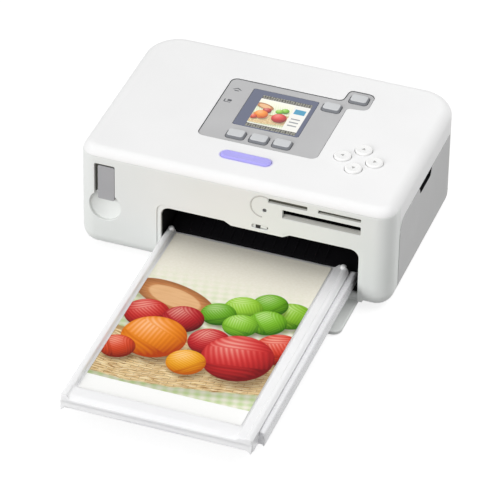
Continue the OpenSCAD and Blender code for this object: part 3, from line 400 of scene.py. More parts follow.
@dataclass
class Shape:
    """A growing mesh in millimetres, with a material number on each face."""

    verts: list = field(default_factory=list)
    faces: list = field(default_factory=list)
    marks: list = field(default_factory=list)

    def add(self, verts: Points, faces: Sequence[Sequence[int]], mark: int = 0) -> None:
        """Adds vertices and the faces between them."""
        first = len(self.verts)
        self.verts += [tuple(v) for v in verts]
        self.faces += [tuple(first + i for i in f) for f in faces]
        self.marks += [mark] * len(faces)

    def join(self, other: "Shape") -> "Shape":
        """Adds another shape to this one and returns this one."""
        first = len(self.verts)
        self.verts += other.verts
        self.faces += [tuple(first + i for i in f) for f in other.faces]
        self.marks += other.marks
        return self


@dataclass
class Edge:
    """A closed outline on a surface, material on its left, and how the surface turns in there."""

    loop: Points
    profile: Profile
    wall: int = 0  # material number of the straight part below the rounding


def roll_in(radius: float, wall: float, steps: int = 4, back_roll: float = 0.0) -> Profile:
    """Profile of a rounded edge that runs straight down to the back.

    Args:
        radius: Radius of the rounding.
        wall: Thickness at the edge.
        steps: Chords of the rounding.
        back_roll: Radius of the rounding at the back.

    Returns:
        Pairs of inset and depth.
    """
    angles = [math.pi / 2 * k / steps for k in range(steps + 1)]
    rows = [(radius * (1 - math.sin(a)), radius * (1 - math.cos(a))) for a in angles]
    support = min(0.12, wall * 0.1)
    if back_roll > 0:
        rows += [
            (back_roll * (1 - math.cos(a)), wall - back_roll * (1 - math.sin(a))) for a in angles
        ]
        return rows
    return rows + [(0.0, wall - support), (0.0, wall), (support, wall)]


def triangulate(rings: Sequence[Points], lines: Sequence[Points]) -> tuple[Points, list, list]:
    """Fills the region between rings with triangles.

    Args:
        rings: Closed loops, material on their left.
        lines: Polylines whose points and chords carry the surface's curvature.

    Returns:
        The points, the triangles, and for each ring the numbers of its points.
    """
    points: list = []
    edges: list = []
    for ring in rings:
        first = len(points)
        points += [tuple(p) for p in ring]
        edges += [(first + i, first + (i + 1) % len(ring)) for i in range(len(ring))]
    for line in lines:
        keep = within(line, rings)
        keep[keep] = clearance(line[keep], rings) > 0.3
        middle = (line[:-1] + line[1:]) / 2
        joined = keep[:-1] & keep[1:]
        if joined.any():
            clear = clearance(middle[joined], rings) > 0.2
            joined[joined] = within(middle[joined], rings) & clear
        number = {}
        for i, p in enumerate(line):
            if keep[i]:
                number[i] = len(points)
                points.append(tuple(p))
        edges += [(number[i], number[i + 1]) for i in range(len(line) - 1) if joined[i]]
    made, _, tris, origin, _, _ = delaunay_2d_cdt(
        [Vector(p) for p in points], edges, [], 0, 1e-5, True
    )
    flat = np.array([tuple(p) for p in made])
    where = {}
    for new, olds in enumerate(origin):
        for old in olds:
            where[old] = new
    tris = [t for t in tris if len(t) == 3]
    corner = flat[np.array(tris)]
    good = within(corner.mean(axis=1), rings)
    area = np.cross(corner[:, 1] - corner[:, 0], corner[:, 2] - corner[:, 0])
    kept = [t if a > 0 else t[::-1] for t, g, a in zip(tris, good, area) if g and abs(a) > 1e-9]
    numbers, first = [], 0
    for ring in rings:
        numbers.append([where[first + i] for i in range(len(ring))])
        first += len(ring)
    return flat, kept, numbers


def skin(
    surface: Callable, edges: Sequence[Edge], lines: Sequence[Points] = (), mark: int = 0
) -> Shape:
    """Closed shell over a region of a surface, with its edges turned in.

    Args:
        surface: Places a point of the outline at a depth.
        edges: The outer edge and those of the holes.
        lines: Polylines that carry the surface's curvature.
        mark: Material number.

    Returns:
        The closed shape.
    """
    rings = [shift(e.loop, e.profile[0][0]) for e in edges]
    flat, tris, numbers = triangulate(rings, lines)
    deep = edges[0].profile[-1][1]
    count = len(flat)
    verts = [surface(flat, 0.0), surface(flat, deep)]
    shape = Shape()
    faces = [tuple(t) for t in tris] + [tuple(count + i for i in t[::-1]) for t in tris]
    marks = [mark] * len(faces)
    total = 2 * count
    for edge, number in zip(edges, numbers):
        above, last = list(number), edge.profile[0][0]
        for inset, depth in edge.profile[1:]:
            verts.append(surface(shift(edge.loop, inset), depth))
            below = list(range(total, total + len(above)))
            total += len(above)
            faces += strip(above, below)
            marks += [edge.wall if edge.wall and inset >= last else mark] * len(above)
            above, last = below, inset
        faces += strip(above, [count + i for i in number])
        marks += [mark] * len(above)
    shape.add(np.vstack(verts), faces, mark)
    shape.marks = marks
    return shape


def strip(above: Sequence[int], below: Sequence[int]) -> list:
    """Faces between two closed rings of the same count, outside on the right of the upper one."""
    size = len(above)
    return [
        (above[i], below[i], below[(i + 1) % size], above[(i + 1) % size])
        for i in range(size)
    ]


def loft(rings: Sequence[Points], mark: int = 0) -> Shape:
    """Closed shape through rings of the same count, with a fan over each end.

    Args:
        rings: Closed rings in space.
        mark: Number of the material.

    Returns:
        The shape.
    """
    size = len(rings[0])
    verts = np.vstack([*rings, rings[0].mean(axis=0)[None], rings[-1].mean(axis=0)[None]])
    faces: list = []
    for k in range(len(rings) - 1):
        faces += strip(range(k * size, (k + 1) * size), range((k + 1) * size, (k + 2) * size))
    top, low = len(rings) * size, len(rings) * size + 1
    last = (len(rings) - 1) * size
    faces += [(top, i, (i + 1) % size) for i in range(size)]
    faces += [(low, last + (i + 1) % size, last + i) for i in range(size)]
    shape = Shape()
    shape.add(verts, faces, mark)
    return shape


def block(lo: Sequence[float], hi: Sequence[float], roll: float = 0.3, mark: int = 0) -> Shape:
    """Box between two corners with all its edges rounded.

    Args:
        lo: The least corner.
        hi: The greatest corner.
        roll: Radius of the edges.
        mark: Number of the material.

    Returns:
        The shape.
    """
    width, depth, height = (hi[i] - lo[i] for i in range(3))
    plane = Plane((0, 0, hi[2]))
    loop = rounded((lo[0] + hi[0]) / 2, (lo[1] + hi[1]) / 2, width, depth, roll, 3)
    return skin(plane, [Edge(loop, roll_in(roll, height, 3, roll))], (), mark)


def cord(path: Points, radius: float, mark: int = 0, sides: int = 10) -> Shape:
    """Closed tube along an open path, its ends drawn in.

    Args:
        path: Points of the middle line.
        radius: Radius of the tube.
        mark: Number of the material.
        sides: Chords round the tube.

    Returns:
        The shape.
    """
    ahead = np.gradient(path, axis=0)
    ahead /= np.linalg.norm(ahead, axis=1)[:, None]
    up = np.cross(ahead[0], (0.3, 0.5, 0.81))
    rings = []
    for place, way in zip(path, ahead):
        up = up - way * (up @ way)
        up /= np.linalg.norm(up)
        side = np.cross(way, up)
        turn = np.linspace(0, 2 * math.pi, sides, endpoint=False)[:, None]
        rings.append((place, up, side, turn))
    full = [p + radius * (np.cos(t) * u + np.sin(t) * s) for p, u, s, t in rings]
    first = [p + 0.5 * radius * (np.cos(t) * u + np.sin(t) * s) - ahead[0] * radius * 0.6
             for p, u, s, t in rings[:1]]
    last = [p + 0.5 * radius * (np.cos(t) * u + np.sin(t) * s) + ahead[-1] * radius * 0.6
            for p, u, s, t in rings[-1:]]
    return loft([*last, *full[::-1], *first], mark)


def shade(mesh: bpy.types.Mesh) -> None:
    """Smooths a mesh with normals weighted by face area, so that flat faces stay flat."""
    count = len(mesh.vertices)
    mesh.calc_loop_triangles()
    corners = np.zeros(len(mesh.loop_triangles) * 3, np.int64)
    mesh.loop_triangles.foreach_get("vertices", corners)
    corners = corners.reshape(-1, 3)
    co = np.zeros(count * 3)
    mesh.vertices.foreach_get("co", co)
    co = co.reshape(-1, 3)
    area = np.cross(co[corners[:, 1]] - co[corners[:, 0]], co[corners[:, 2]] - co[corners[:, 0]])
    normals = np.zeros((count, 3))
    for k in range(3):
        np.add.at(normals, corners[:, k], area)
    size = np.linalg.norm(normals, axis=1)
    normals /= np.maximum(size, 1e-18)[:, None]
    mesh.shade_smooth()
    mesh.normals_split_custom_set_from_vertices([tuple(n) for n in normals])


def piece(
    name: str,
    shape: Shape,
    finishes: Sequence[bpy.types.Material],
    body: str,
    replaces: Sequence[str] = (),
) -> bpy.types.Object:
    """Makes an object of a shape, hangs it on its CAD body and hides the CAD nodes it stands for.

    Args:
        name: Name of the piece.
        shape: Its mesh in millimetres.
        finishes: Its materials, by material number.
        body: CAD body that it rides on.
        replaces: CAD nodes that it stands for.

    Returns:
        The new object.
    """
    mesh = bpy.data.meshes.new(name)
    mesh.from_pydata([tuple(c * MM for c in v) for v in shape.verts], [], shape.faces)
    for finish in finishes:
        mesh.materials.append(finish)
    mesh.polygons.foreach_set("material_index", shape.marks)
    mesh.validate()
    shade(mesh)
    made = bpy.data.objects.new(name, mesh)
    bpy.context.scene.collection.objects.link(made)
    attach(made, body)
    if replaces:
        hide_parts(*replaces)
    LOG.info("%s: %d faces on %s", name, len(shape.faces), body)
    return made


# Finishes --------------------------------------------------------------------------------


def linear(colour: str) -> tuple[float, float, float, float]:
    """Turns an sRGB hex colour into linear red, green, blue and alpha."""
    parts = [int(colour[i : i + 2], 16) / 255 for i in (1, 3, 5)]
    red, green, blue = (c / 12.92 if c <= 0.04045 else ((c + 0.055) / 1.055) ** 2.4 for c in parts)
    return red, green, blue, 1.0


def add_node(
    tree: bpy.types.NodeTree, kind: str, inputs: dict | None = None, **settings: object
) -> bpy.types.Node:
    """Adds a node with its settings, and sets or links its inputs.

    Args:
        tree: Node tree.
        kind: Type of the node.
        inputs: Input name or number to a value or to the socket it is linked from.
        settings: Properties of the node.

    Returns:
        The node.
    """
    made = tree.nodes.new(kind)
    for key, value in settings.items():
        setattr(made, key, value)
    for key, value in (inputs or {}).items():
        socket = made.inputs[key]
        if isinstance(value, bpy.types.NodeSocket):
            tree.links.new(value, socket)
        else:
            socket.default_value = value
    return made


class Surface(Enum):
    """How a moulded, rolled or drawn surface breaks up the light."""

    SPARK = "fine spark-eroded grain"
    POLISHED = "polished mould"
    BRUSHED = "brushed along X"
    FIBRE = "paper fibre"


@dataclass(frozen=True)
class Finish:
    """One real material with its colour, gloss and fine relief."""

    name: str
    colour: str
    roughness: float
    surface: Surface = Surface.SPARK
    grain: float = 0.6  # mm between grains, drawn coarser than real so that it shows
    relief: float = 0.02  # mm
    metallic: float = 0.0
    coat: float = 0.0
    ior: float = 1.5
    soft: float = 0.0  # subsurface weight
    scatter: float = 1.5  # mm that light runs under the surface
    specular: float = 0.5  # 0.5 is the plain gloss of its IOR
    second: str = ""  # colour that the base drifts to
    drift: float = 35.0  # mm between drifts of colour

    def build(self) -> bpy.types.Material:
        """Makes the node material.

        Returns:
            The material.
        """
        made = bpy.data.materials.new(self.name)
        made.use_nodes = True
        tree = made.node_tree
        tree.nodes.clear()
        place = add_node(tree, "ShaderNodeTexCoord").outputs["Object"]
        if self.surface is Surface.BRUSHED:
            place = add_node(
                tree, "ShaderNodeMapping", {"Vector": place, "Scale": (0.04, 1.0, 1.0)}
            ).outputs["Vector"]
        grain = add_node(
            tree, "ShaderNodeTexNoise", {"Vector": place, "Scale": 1000 / self.grain, "Detail": 3.0}
        ).outputs["Fac"]
        tint: tuple | bpy.types.NodeSocket = linear(self.colour)
        if self.second:
            slow = add_node(
                tree, "ShaderNodeTexNoise",
                {"Vector": place, "Scale": 1000 / self.drift, "Detail": 2.0},
            ).outputs["Fac"]
            share = add_node(
                tree, "ShaderNodeMapRange", {"Value": slow, "From Min": 0.35, "From Max": 0.65}
            ).outputs["Result"]
            tint = add_node(
                tree, "ShaderNodeMix", {"Factor": share, "A": tint, "B": linear(self.second)},
                data_type="RGBA",
            ).outputs["Result"]
        rough = add_node(
            tree, "ShaderNodeMapRange",
            {"Value": grain, "From Min": 0.3, "From Max": 0.7,
             "To Min": self.roughness * 0.9, "To Max": min(1.0, self.roughness * 1.1)},
        ).outputs["Result"]
        bump = add_node(
            tree, "ShaderNodeBump",
            {"Height": grain, "Distance": self.relief * MM, "Strength": 0.6},
        ).outputs["Normal"]
        shader = add_node(
            tree, "ShaderNodeBsdfPrincipled",
            {"Base Color": tint, "Roughness": rough, "Normal": bump,
             "Metallic": self.metallic, "IOR": self.ior, "Coat Weight": self.coat,
             "Specular IOR Level": self.specular, "Coat Roughness": 0.12,
             "Subsurface Weight": self.soft, "Subsurface Scale": self.scatter * MM,
             "Subsurface Radius": (1.0, 1.0, 1.0)},
        )
        add_node(tree, "ShaderNodeOutputMaterial", {"Surface": shader.outputs[0]})
        return made


# Moulded ABS from a spark-eroded mould: satin, with soft broad highlights
WHITE_ABS = Finish("white_abs_moulded", "#F6F6F6", 0.42, second="#F4F4F4", relief=0.008)
FRONT_ABS = Finish("warm_white_abs_moulded", "#ECEEEC", 0.42, second="#E9ECE9", relief=0.008)
# The same from a coarser mould: flatter, so the grey sides stay quiet beside the white
SIDE_ABS = Finish("grey_abs_textured", "#C8C8C8", 0.5, second="#C4C4C4", relief=0.015)
# Slot lips: a grey that is painted shade under the slot's upper wall
LIP_SHADE = Finish("slot_lip_painted_shade", "#BDBDB8", 0.5, second="#B4B4AF", relief=0.008)
# Black ABS: a dull sheen on edges, nearly no light from the faces
BLACK_ABS = Finish("black_abs_moulded", "#17151A", 0.45, second="#1C1A20")
# Matt black ABS painted darker still as shade: deep parts that no light should come back from
BLACK_SHADE = Finish("black_abs_painted_shade", "#08070A", 0.8, second="#0A090C", specular=0.2)
# Satin grey ABS of the plug: evenly lit face; its sides painted darker as the shadow of the gap
# round it
GRIP_ABS = Finish("grey_abs_satin", "#ADADAF", 0.4, second="#A6A6A9", relief=0.008)
GRIP_SIDE_SHADE = Finish("grip_sides_painted_shadow", "#6C6C6C", 0.5, relief=0.008)
# Painted shadow in gaps, recesses and parting lines between mouldings: flat greys that read as thin
# shadows
RECESS_SHADE = Finish("recess_painted_shadow", "#4A4A42", 0.6, second="#44443D")
SEAM = Finish("parting_line_shadow", "#77797B", 0.6)
SHADOW_GAP = Finish("panel_gap_painted_shadow", "#5E6064", 0.6)
# Silver lacquer on ABS: its fine grain stands for the flakes, under a thin clear coat
SILVER = Finish("silver_lacquer_on_abs", "#BEBEBF", 0.38, grain=0.35, relief=0.006,
                coat=0.25, second="#B9B9BA")
# Lacquered keys: brighter and glossier than the panel, so that they stand off it
KEY_SILVER = Finish("silver_lacquered_key", "#CFD1D3", 0.3, relief=0.005, coat=0.4,
                    second="#CACCCE")
# Key skirts: the keys' lacquer painted darker as shade on their sloping sides
KEY_SKIRT_SHADE = Finish("key_skirt_painted_shade", "#7C7E83", 0.4, relief=0.005)
# Polished ABS keys: a clear small highlight along the rim
KEY_WHITE = Finish("white_key_polished", "#F6F6F5", 0.28, Surface.POLISHED, relief=0.004,
                   coat=0.3)
KEY_LAVENDER = Finish("lavender_key_translucent", "#B3ADF8", 0.3, Surface.POLISHED,
                      relief=0.004, coat=0.3, soft=0.1, second="#AEA7F6")
# Ring round the print key: the key's colour, paled
HALO = Finish("pale_key_halo", "#D9D6F1", 0.4)
# Pad-printed ink: flat, without a gloss of its own
ARROW_GREY = Finish("pale_grey_sign", "#A9A9A7", 0.5)
LINE_GREY = Finish("grey_ink", "#C6C6C2", 0.5)
ICON_GREY = Finish("dark_grey_ink", "#55575C", 0.5)
# Polystyrene with a milky filler: light scatters inside, so edges stay bright
MILKY = Finish("milky_polystyrene", "#F8F8F9", 0.22, Surface.POLISHED, relief=0.004, ior=1.59,
               soft=0.35, scatter=0.6, second="#F5F5F7", coat=0.2)
MILKY_TRAY = Finish("milky_polystyrene_tray", "#F6F6F8", 0.28, Surface.POLISHED, relief=0.004,
                    ior=1.59, soft=0.35, scatter=0.6, second="#F2F2F5")
# Coated paper: flat white with a faint tooth
PAPER = Finish("coated_paper", "#F6F6F3", 0.5, Surface.FIBRE, grain=0.3, relief=0.006)
# Smoked acrylic of the lamp: dark, with one small highlight
SMOKED = Finish("smoked_light_pipe", "#55575B", 0.25, Surface.POLISHED, coat=0.3)
# Rolled steel and extruded aluminium: highlights pulled out along the marks of forming
STEEL = Finish("bright_rolled_steel", "#B9BBBE", 0.3, Surface.BRUSHED, grain=0.25, relief=0.004,
               metallic=1.0, second="#AEB0B3")
ALUMINIUM = Finish("extruded_aluminium", "#B7BBC0", 0.35, Surface.BRUSHED, grain=0.4,
                   relief=0.006, metallic=1.0)
# Turned brass: warm and bright, with a fine even grain
BRASS = Finish("turned_brass", "#C9A64B", 0.28, grain=0.2, relief=0.004, metallic=1.0)
# Zinc-plated sheet: cloudy patches about a centimetre wide
ZINC = Finish("zinc_plated_sheet", "#A9ADB0", 0.42, grain=2.5, relief=0.006, metallic=0.9,
              second="#9A9EA1", drift=12)
# Glazed alumina of the print head: smooth and pale under a thin glaze
CERAMIC = Finish("glazed_alumina", "#D8D4CC", 0.2, Surface.POLISHED, coat=0.4)
# Natural nylon of the gears: creamy, a little light passes under the skin
NYLON = Finish("natural_nylon", "#E8E4D8", 0.45, soft=0.15)
# Ground rubber of rollers and feet: dark and dull
RUBBER = Finish("ground_rubber", "#2E2F31", 0.75, grain=0.3, relief=0.02)
# Wound dye film: fine turns that draw the gloss out
FILM_YELLOW = Finish("wound_yellow_film", "#D9C24A", 0.25, Surface.BRUSHED, grain=0.2, coat=0.3)
FILM_VIOLET = Finish("wound_used_film", "#6B5B95", 0.25, Surface.BRUSHED, grain=0.2, coat=0.3)
# Solder resist over copper: glossy green that changes with the tracks below
BOARD = Finish("green_solder_resist", "#2F6B4A", 0.35, grain=1.2, relief=0.02, second="#28603F",
               drift=5, coat=0.3)
# Frame of the screen module: satin plastic, a cool pale grey
SCREEN_FRAME = Finish("screen_frame_plastic", "#B9C4C9", 0.4)

SLOT_FINISHES = {
    "white_shell": WHITE_ABS, "front_shell": FRONT_ABS, "side_grey": SIDE_ABS,
    "rear_grey": FRONT_ABS, "silver_panel": SILVER, "screen_module": SCREEN_FRAME,
    "key_silver": KEY_SILVER, "key_lavender": KEY_LAVENDER, "key_white": KEY_WHITE,
    "black_plastic": BLACK_ABS, "grip_grey": GRIP_ABS, "lamp_grey": SMOKED,
    "cassette_clear": MILKY, "paper_white": PAPER, "steel": STEEL, "zinc_sheet": ZINC,
    "aluminium": ALUMINIUM, "head_ceramic": CERAMIC, "gear_nylon": NYLON, "brass": BRASS,
    "rubber_black": RUBBER, "ribbon_yellow": FILM_YELLOW, "ribbon_violet": FILM_VIOLET,
    "circuit_board": BOARD,
}


class Materials:
    """Builds each finish once."""

    def __init__(self) -> None:
        """Starts with no material."""
        self.made: dict[str, bpy.types.Material] = {}

    def __getitem__(self, finish: Finish) -> bpy.types.Material:
        """Returns the material of a finish."""
        if finish.name not in self.made:
            self.made[finish.name] = finish.build()
        return self.made[finish.name]


@dataclass
class Maths:
    """Writes sums of sockets and numbers as nodes of one tree."""

    tree: bpy.types.NodeTree

    def __call__(
        self, operation: str, *values: object, clamp: bool = False
    ) -> bpy.types.NodeSocket:
        """Adds one Math node and returns its result."""
        return add_node(
            self.tree, "ShaderNodeMath", dict(enumerate(values)), operation=operation,
            use_clamp=clamp,
        ).outputs[0]

    def inside(self, value: object, low: float, high: float, soft: float) -> bpy.types.NodeSocket:
        """1 between low and high, falling to 0 over soft."""
        up = add_node(self.tree, "ShaderNodeMapRange",
                      {"Value": value, "From Min": low - soft, "From Max": low + soft},
                      interpolation_type="SMOOTHSTEP").outputs[0]
        down = add_node(self.tree, "ShaderNodeMapRange",
                        {"Value": value, "From Min": high - soft, "From Max": high + soft},
                        interpolation_type="SMOOTHSTEP").outputs[0]
        return self("SUBTRACT", up, down)

    def mix(self, share: object, under: object, over: object) -> bpy.types.NodeSocket:
        """Lays one colour over another."""
        return add_node(
            self.tree, "ShaderNodeMix", {"Factor": share, "A": under, "B": over},
            data_type="RGBA",
        ).outputs["Result"]


@dataclass(frozen=True)
class Ball:
    """One ball of wool in the picture; lengths are shares of the picture's width."""

    x: float
    y: float
    radius: float
    colour: str
    shade: str
    turn: float = 30.0  # degrees of its threads


@dataclass(frozen=True)
class WoolPicture:
    """A generic still life: balls of wool before a checked cloth, on a straw mat.

    It is drawn on a sheet whose picture spans (x0, y0) to (x1, y1) in millimetres.
    """

    x0: float
    y0: float
    x1: float
    y1: float
    balls: tuple[Ball, ...]

    def colour(self, tree: bpy.types.NodeTree) -> bpy.types.NodeSocket:
        """Adds the picture's nodes and returns its colour.

        Args:
            tree: Node tree of the sheet's material.

        Returns:
            The colour socket.
        """
        do = Maths(tree)
        wide = (self.x1 - self.x0) * MM
        place = add_node(tree, "ShaderNodeTexCoord").outputs["Object"]
        parts = add_node(tree, "ShaderNodeSeparateXYZ", {"Vector": place})
        u = do("DIVIDE", do("SUBTRACT", parts.outputs["X"], self.x0 * MM), wide)
        v = do("DIVIDE", do("SUBTRACT", parts.outputs["Y"], self.y0 * MM), wide)
        flat = add_node(tree, "ShaderNodeCombineXYZ", {"X": u, "Y": v}).outputs[0]
        colour = self.cloth(tree, do, u, v, flat)
        colour = self.bowl(tree, do, u, v, flat, colour)
        colour = self.mat(tree, do, u, v, flat, colour)
        for ball in self.balls:
            colour = self.ball(do, u, v, colour, ball)
        return colour

    def cloth(
        self, tree: bpy.types.NodeTree, do: Maths, u: bpy.types.NodeSocket,
        v: bpy.types.NodeSocket, flat: bpy.types.NodeSocket,
    ) -> bpy.types.NodeSocket:
        """Cream table cloth with a faint green check that fades with distance."""
        fine = add_node(tree, "ShaderNodeTexNoise", {"Vector": flat, "Scale": 60.0, "Detail": 3.0})
        cream = do.mix(fine.outputs["Fac"], linear("#FBF8EC"), linear("#EFE9D8"))
        one = do("SINE", do("MULTIPLY", do("ADD", u, do("MULTIPLY", v, 0.25)), 95.0))
        two = do("SINE", do("MULTIPLY", do("SUBTRACT", v, do("MULTIPLY", u, 0.2)), 120.0))
        check = do("MULTIPLY", do("ADD", do("ADD", one, two), 2.0), 0.25)
        fade = do.inside(v, -1.0, 0.95, 0.28)
        share = do("MULTIPLY", do("MULTIPLY", check, fade), 0.75)
        return do.mix(share, cream, linear("#B3D27E"))

    def bowl(
        self, tree: bpy.types.NodeTree, do: Maths, u: bpy.types.NodeSocket,
        v: bpy.types.NodeSocket, flat: bpy.types.NodeSocket, colour: bpy.types.NodeSocket,
    ) -> bpy.types.NodeSocket:
        """Brown wooden bowl at the back, with its grain."""
        du = do("DIVIDE", do("SUBTRACT", u, 0.22), 0.27)
        dv = do("DIVIDE", do("SUBTRACT", v, 0.86), 0.13)
        tilt = do("ADD", dv, do("MULTIPLY", du, 0.45))
        away = do("ADD", do("MULTIPLY", du, du), do("MULTIPLY", tilt, tilt))
        grain = add_node(tree, "ShaderNodeTexNoise",
                         {"Vector": add_node(tree, "ShaderNodeMapping", {
                             "Vector": flat, "Scale": (9.0, 70.0, 1.0), "Rotation": (0, 0, 0.45),
                         }).outputs[0], "Scale": 1.0, "Detail": 4.0}).outputs["Fac"]
        wood = do.mix(grain, linear("#E6A76C"), linear("#A85B2C"))
        wood = do.mix(do("MULTIPLY", do.inside(away, 0.6, 3.0, 0.35), 0.5), wood, linear("#6E3417"))
        hollow = do.mix(do("MULTIPLY", grain, 0.6), linear("#F0C392"), linear("#C98A50"))
        wood = do.mix(do.inside(away, -1.0, 0.42, 0.06), wood, hollow)
        low = do("ADD", tilt, 0.25)
        shadow = do("ADD", do("MULTIPLY", do("MULTIPLY", du, du), 0.85), do("MULTIPLY", low, low))
        dark = do("MULTIPLY", do.inside(shadow, -1.0, 1.0, 0.3), 0.45)
        colour = do.mix(dark, colour, linear("#8C7A55"))
        return do.mix(do.inside(away, -1.0, 1.0, 0.04), colour, wood)

    def mat(
        self, tree: bpy.types.NodeTree, do: Maths, u: bpy.types.NodeSocket,
        v: bpy.types.NodeSocket, flat: bpy.types.NodeSocket, colour: bpy.types.NodeSocket,
    ) -> bpy.types.NodeSocket:
        """Plaited straw mat along the bottom, with a curved hem."""
        bend = do("MULTIPLY", do("SINE", do("MULTIPLY", do("ADD", u, 0.5), 2.4)), 0.09)
        warp = add_node(tree, "ShaderNodeTexNoise", {"Vector": flat, "Scale": 7.0, "Detail": 2.0})
        lean = do("ADD", do("ADD", v, bend), do("MULTIPLY", warp.outputs["Fac"], 0.05))
        flow = add_node(tree, "ShaderNodeCombineXYZ", {"X": u, "Y": lean}).outputs[0]
        weave = add_node(
            tree, "ShaderNodeTexBrick",
            {"Vector": flow, "Color1": linear("#E9CB92"), "Color2": linear("#C79B60"),
             "Mortar": linear("#7A5127"), "Scale": 1.0, "Mortar Size": 0.003,
             "Brick Width": 0.085, "Row Height": 0.021, "Mortar Smooth": 1.0, "Bias": -0.2},
        ).outputs["Color"]
        strand = add_node(tree, "ShaderNodeTexNoise",
                          {"Vector": add_node(tree, "ShaderNodeMapping", {
                              "Vector": flow, "Scale": (14.0, 190.0, 1.0),
                          }).outputs[0], "Scale": 1.0, "Detail": 3.0}).outputs["Fac"]
        weave = do.mix(do.inside(strand, 0.55, 2.0, 0.12), weave, linear("#F5E2B8"))
        weave = do.mix(do.inside(strand, -1.0, 0.40, 0.08), weave, linear("#9A6C3A"))
        hem = do.mix(strand, linear("#DDB87C"), linear("#8E5F2E"))
        weave = do.mix(do.inside(lean, 0.565, 2.0, 0.006), weave, hem)
        cover = do.inside(lean, 0.14, 0.60, 0.008)
        shadow = do("MULTIPLY", do.inside(lean, 0.08, 0.60, 0.06), 0.4)
        return do.mix(cover, do.mix(shadow, colour, linear("#6C7A3C")), weave)

    def ball(
        self, do: Maths, u: bpy.types.NodeSocket, v: bpy.types.NodeSocket,
        colour: bpy.types.NodeSocket, ball: Ball,
    ) -> bpy.types.NodeSocket:
        """One ball of wool with its threads, shading and shadow over the colour so far."""
        du = do("DIVIDE", do("SUBTRACT", u, ball.x), ball.radius)
        dv = do("DIVIDE", do("SUBTRACT", v, ball.y), ball.radius)
        away = do("ADD", do("MULTIPLY", du, du), do("MULTIPLY", dv, dv))
        rise = do("SQRT", do("MAXIMUM", do("SUBTRACT", 1.0, away), 0.0))

        def threads(degrees: float) -> tuple[bpy.types.NodeSocket, bpy.types.NodeSocket]:
            """Place across a layer of threads at an angle, and the threads themselves."""
            angle = math.radians(degrees)
            along = do("ADD", do("MULTIPLY", du, math.cos(angle)),
                       do("MULTIPLY", dv, math.sin(angle)))
            cross = do("SUBTRACT", do("MULTIPLY", dv, math.cos(angle)),
                       do("MULTIPLY", du, math.sin(angle)))
            curve = do("ADD", do("MULTIPLY", along, 42.0),
                       do("MULTIPLY", do("MULTIPLY", cross, rise), 14.0))
            return cross, do("SINE", curve)

        across, upper = threads(ball.turn)
        lower = threads(ball.turn + 72.0)[1]
        band = do.inside(across, -0.34, 0.4, 0.02)
        layers = do("ADD", do("MULTIPLY", upper, band),
                    do("MULTIPLY", lower, do("SUBTRACT", 1.0, band)))
        edge = do("MULTIPLY", do.inside(across, -0.5, -0.34, 0.04), -0.16)
        thread = do("ADD", do("MULTIPLY", layers, 0.075), edge)
        slope = do("SUBTRACT", do("MULTIPLY", dv, 0.42), do("MULTIPLY", du, 0.30))
        round_light = do("ADD", do("MULTIPLY", rise, 0.62), slope)
        lit = do("ADD", round_light, do("ADD", thread, 0.12), clamp=True)
        tone = do.mix(lit, linear(ball.shade), linear(ball.colour))
        shine = do("MULTIPLY", do("POWER", lit, 8.0), 0.38)
        tone = do.mix(shine, tone, linear("#FFF6E0"))
        low = do("MULTIPLY", do("ADD", dv, 0.55), 1.35)
        right = do("SUBTRACT", du, 0.22)
        shadow = do("ADD", do("MULTIPLY", right, right), do("MULTIPLY", low, low))
        dark = do("MULTIPLY", do.inside(shadow, -1.0, 0.8, 0.55), 0.62)
        colour = do.mix(dark, colour, linear("#3E1D10"))
        return do.mix(do.inside(away, -1.0, 0.97, 0.035), colour, tone)


WOOL = (
    Ball(0.93, 0.93, 0.13, "#9CD634", "#3A6C0C", -20),
    Ball(0.78, 0.99, 0.11, "#7CC41E", "#2A5C08", 60),
    Ball(0.64, 0.90, 0.12, "#A8E03C", "#467A0E", 15),
    Ball(0.82, 0.82, 0.12, "#8CD228", "#306608", -50),
    Ball(0.52, 0.80, 0.11, "#76BE1C", "#285A08", 35),
    Ball(0.68, 0.74, 0.11, "#98D834", "#3C7410", -10),
    Ball(0.12, 0.66, 0.14, "#E42C28", "#64080A", 40),
    Ball(0.34, 0.68, 0.13, "#D01E28", "#58060C", -35),
    Ball(0.97, 0.60, 0.15, "#EC4028", "#720E08", 20),
    Ball(0.24, 0.46, 0.20, "#FF9A12", "#B23C04", -25),
    Ball(0.56, 0.53, 0.13, "#DC242C", "#60080E", 70),
    Ball(0.77, 0.44, 0.22, "#EA3434", "#74060C", 10),
    Ball(0.50, 0.30, 0.12, "#FFB81C", "#BC5804", 50),
    Ball(0.07, 0.30, 0.11, "#EE4E20", "#7C1A06", -60),
)


@dataclass(frozen=True)
class PrintFinish:
    """Glossy dye print on coated paper: a generic picture between white tear-off tabs."""

    name: str
    picture: WoolPicture

    def build(self) -> bpy.types.Material:
        """Makes the node material.

        Returns:
            The material.
        """
        made = bpy.data.materials.new(self.name)
        made.use_nodes = True
        tree = made.node_tree
        tree.nodes.clear()
        do = Maths(tree)
        place = add_node(tree, "ShaderNodeTexCoord").outputs["Object"]
        along = add_node(tree, "ShaderNodeSeparateXYZ", {"Vector": place}).outputs["Y"]
        area = do.inside(along, self.picture.y0 * MM, 1.0, 0.0001)
        colour = do.mix(area, linear("#FFFFFD"), self.picture.colour(tree))
        fibre = add_node(tree, "ShaderNodeTexNoise",
                         {"Vector": place, "Scale": 3000.0, "Detail": 2.0}).outputs["Fac"]
        bump = add_node(tree, "ShaderNodeBump",
                        {"Height": fibre, "Distance": 0.000004, "Strength": 0.5}).outputs["Normal"]
        shader = add_node(tree, "ShaderNodeBsdfPrincipled",
                          {"Base Color": colour, "Normal": bump, "Roughness": 0.4,
                           "Specular IOR Level": 0.12})
        add_node(tree, "ShaderNodeOutputMaterial", {"Surface": shader.outputs[0]})
        return made


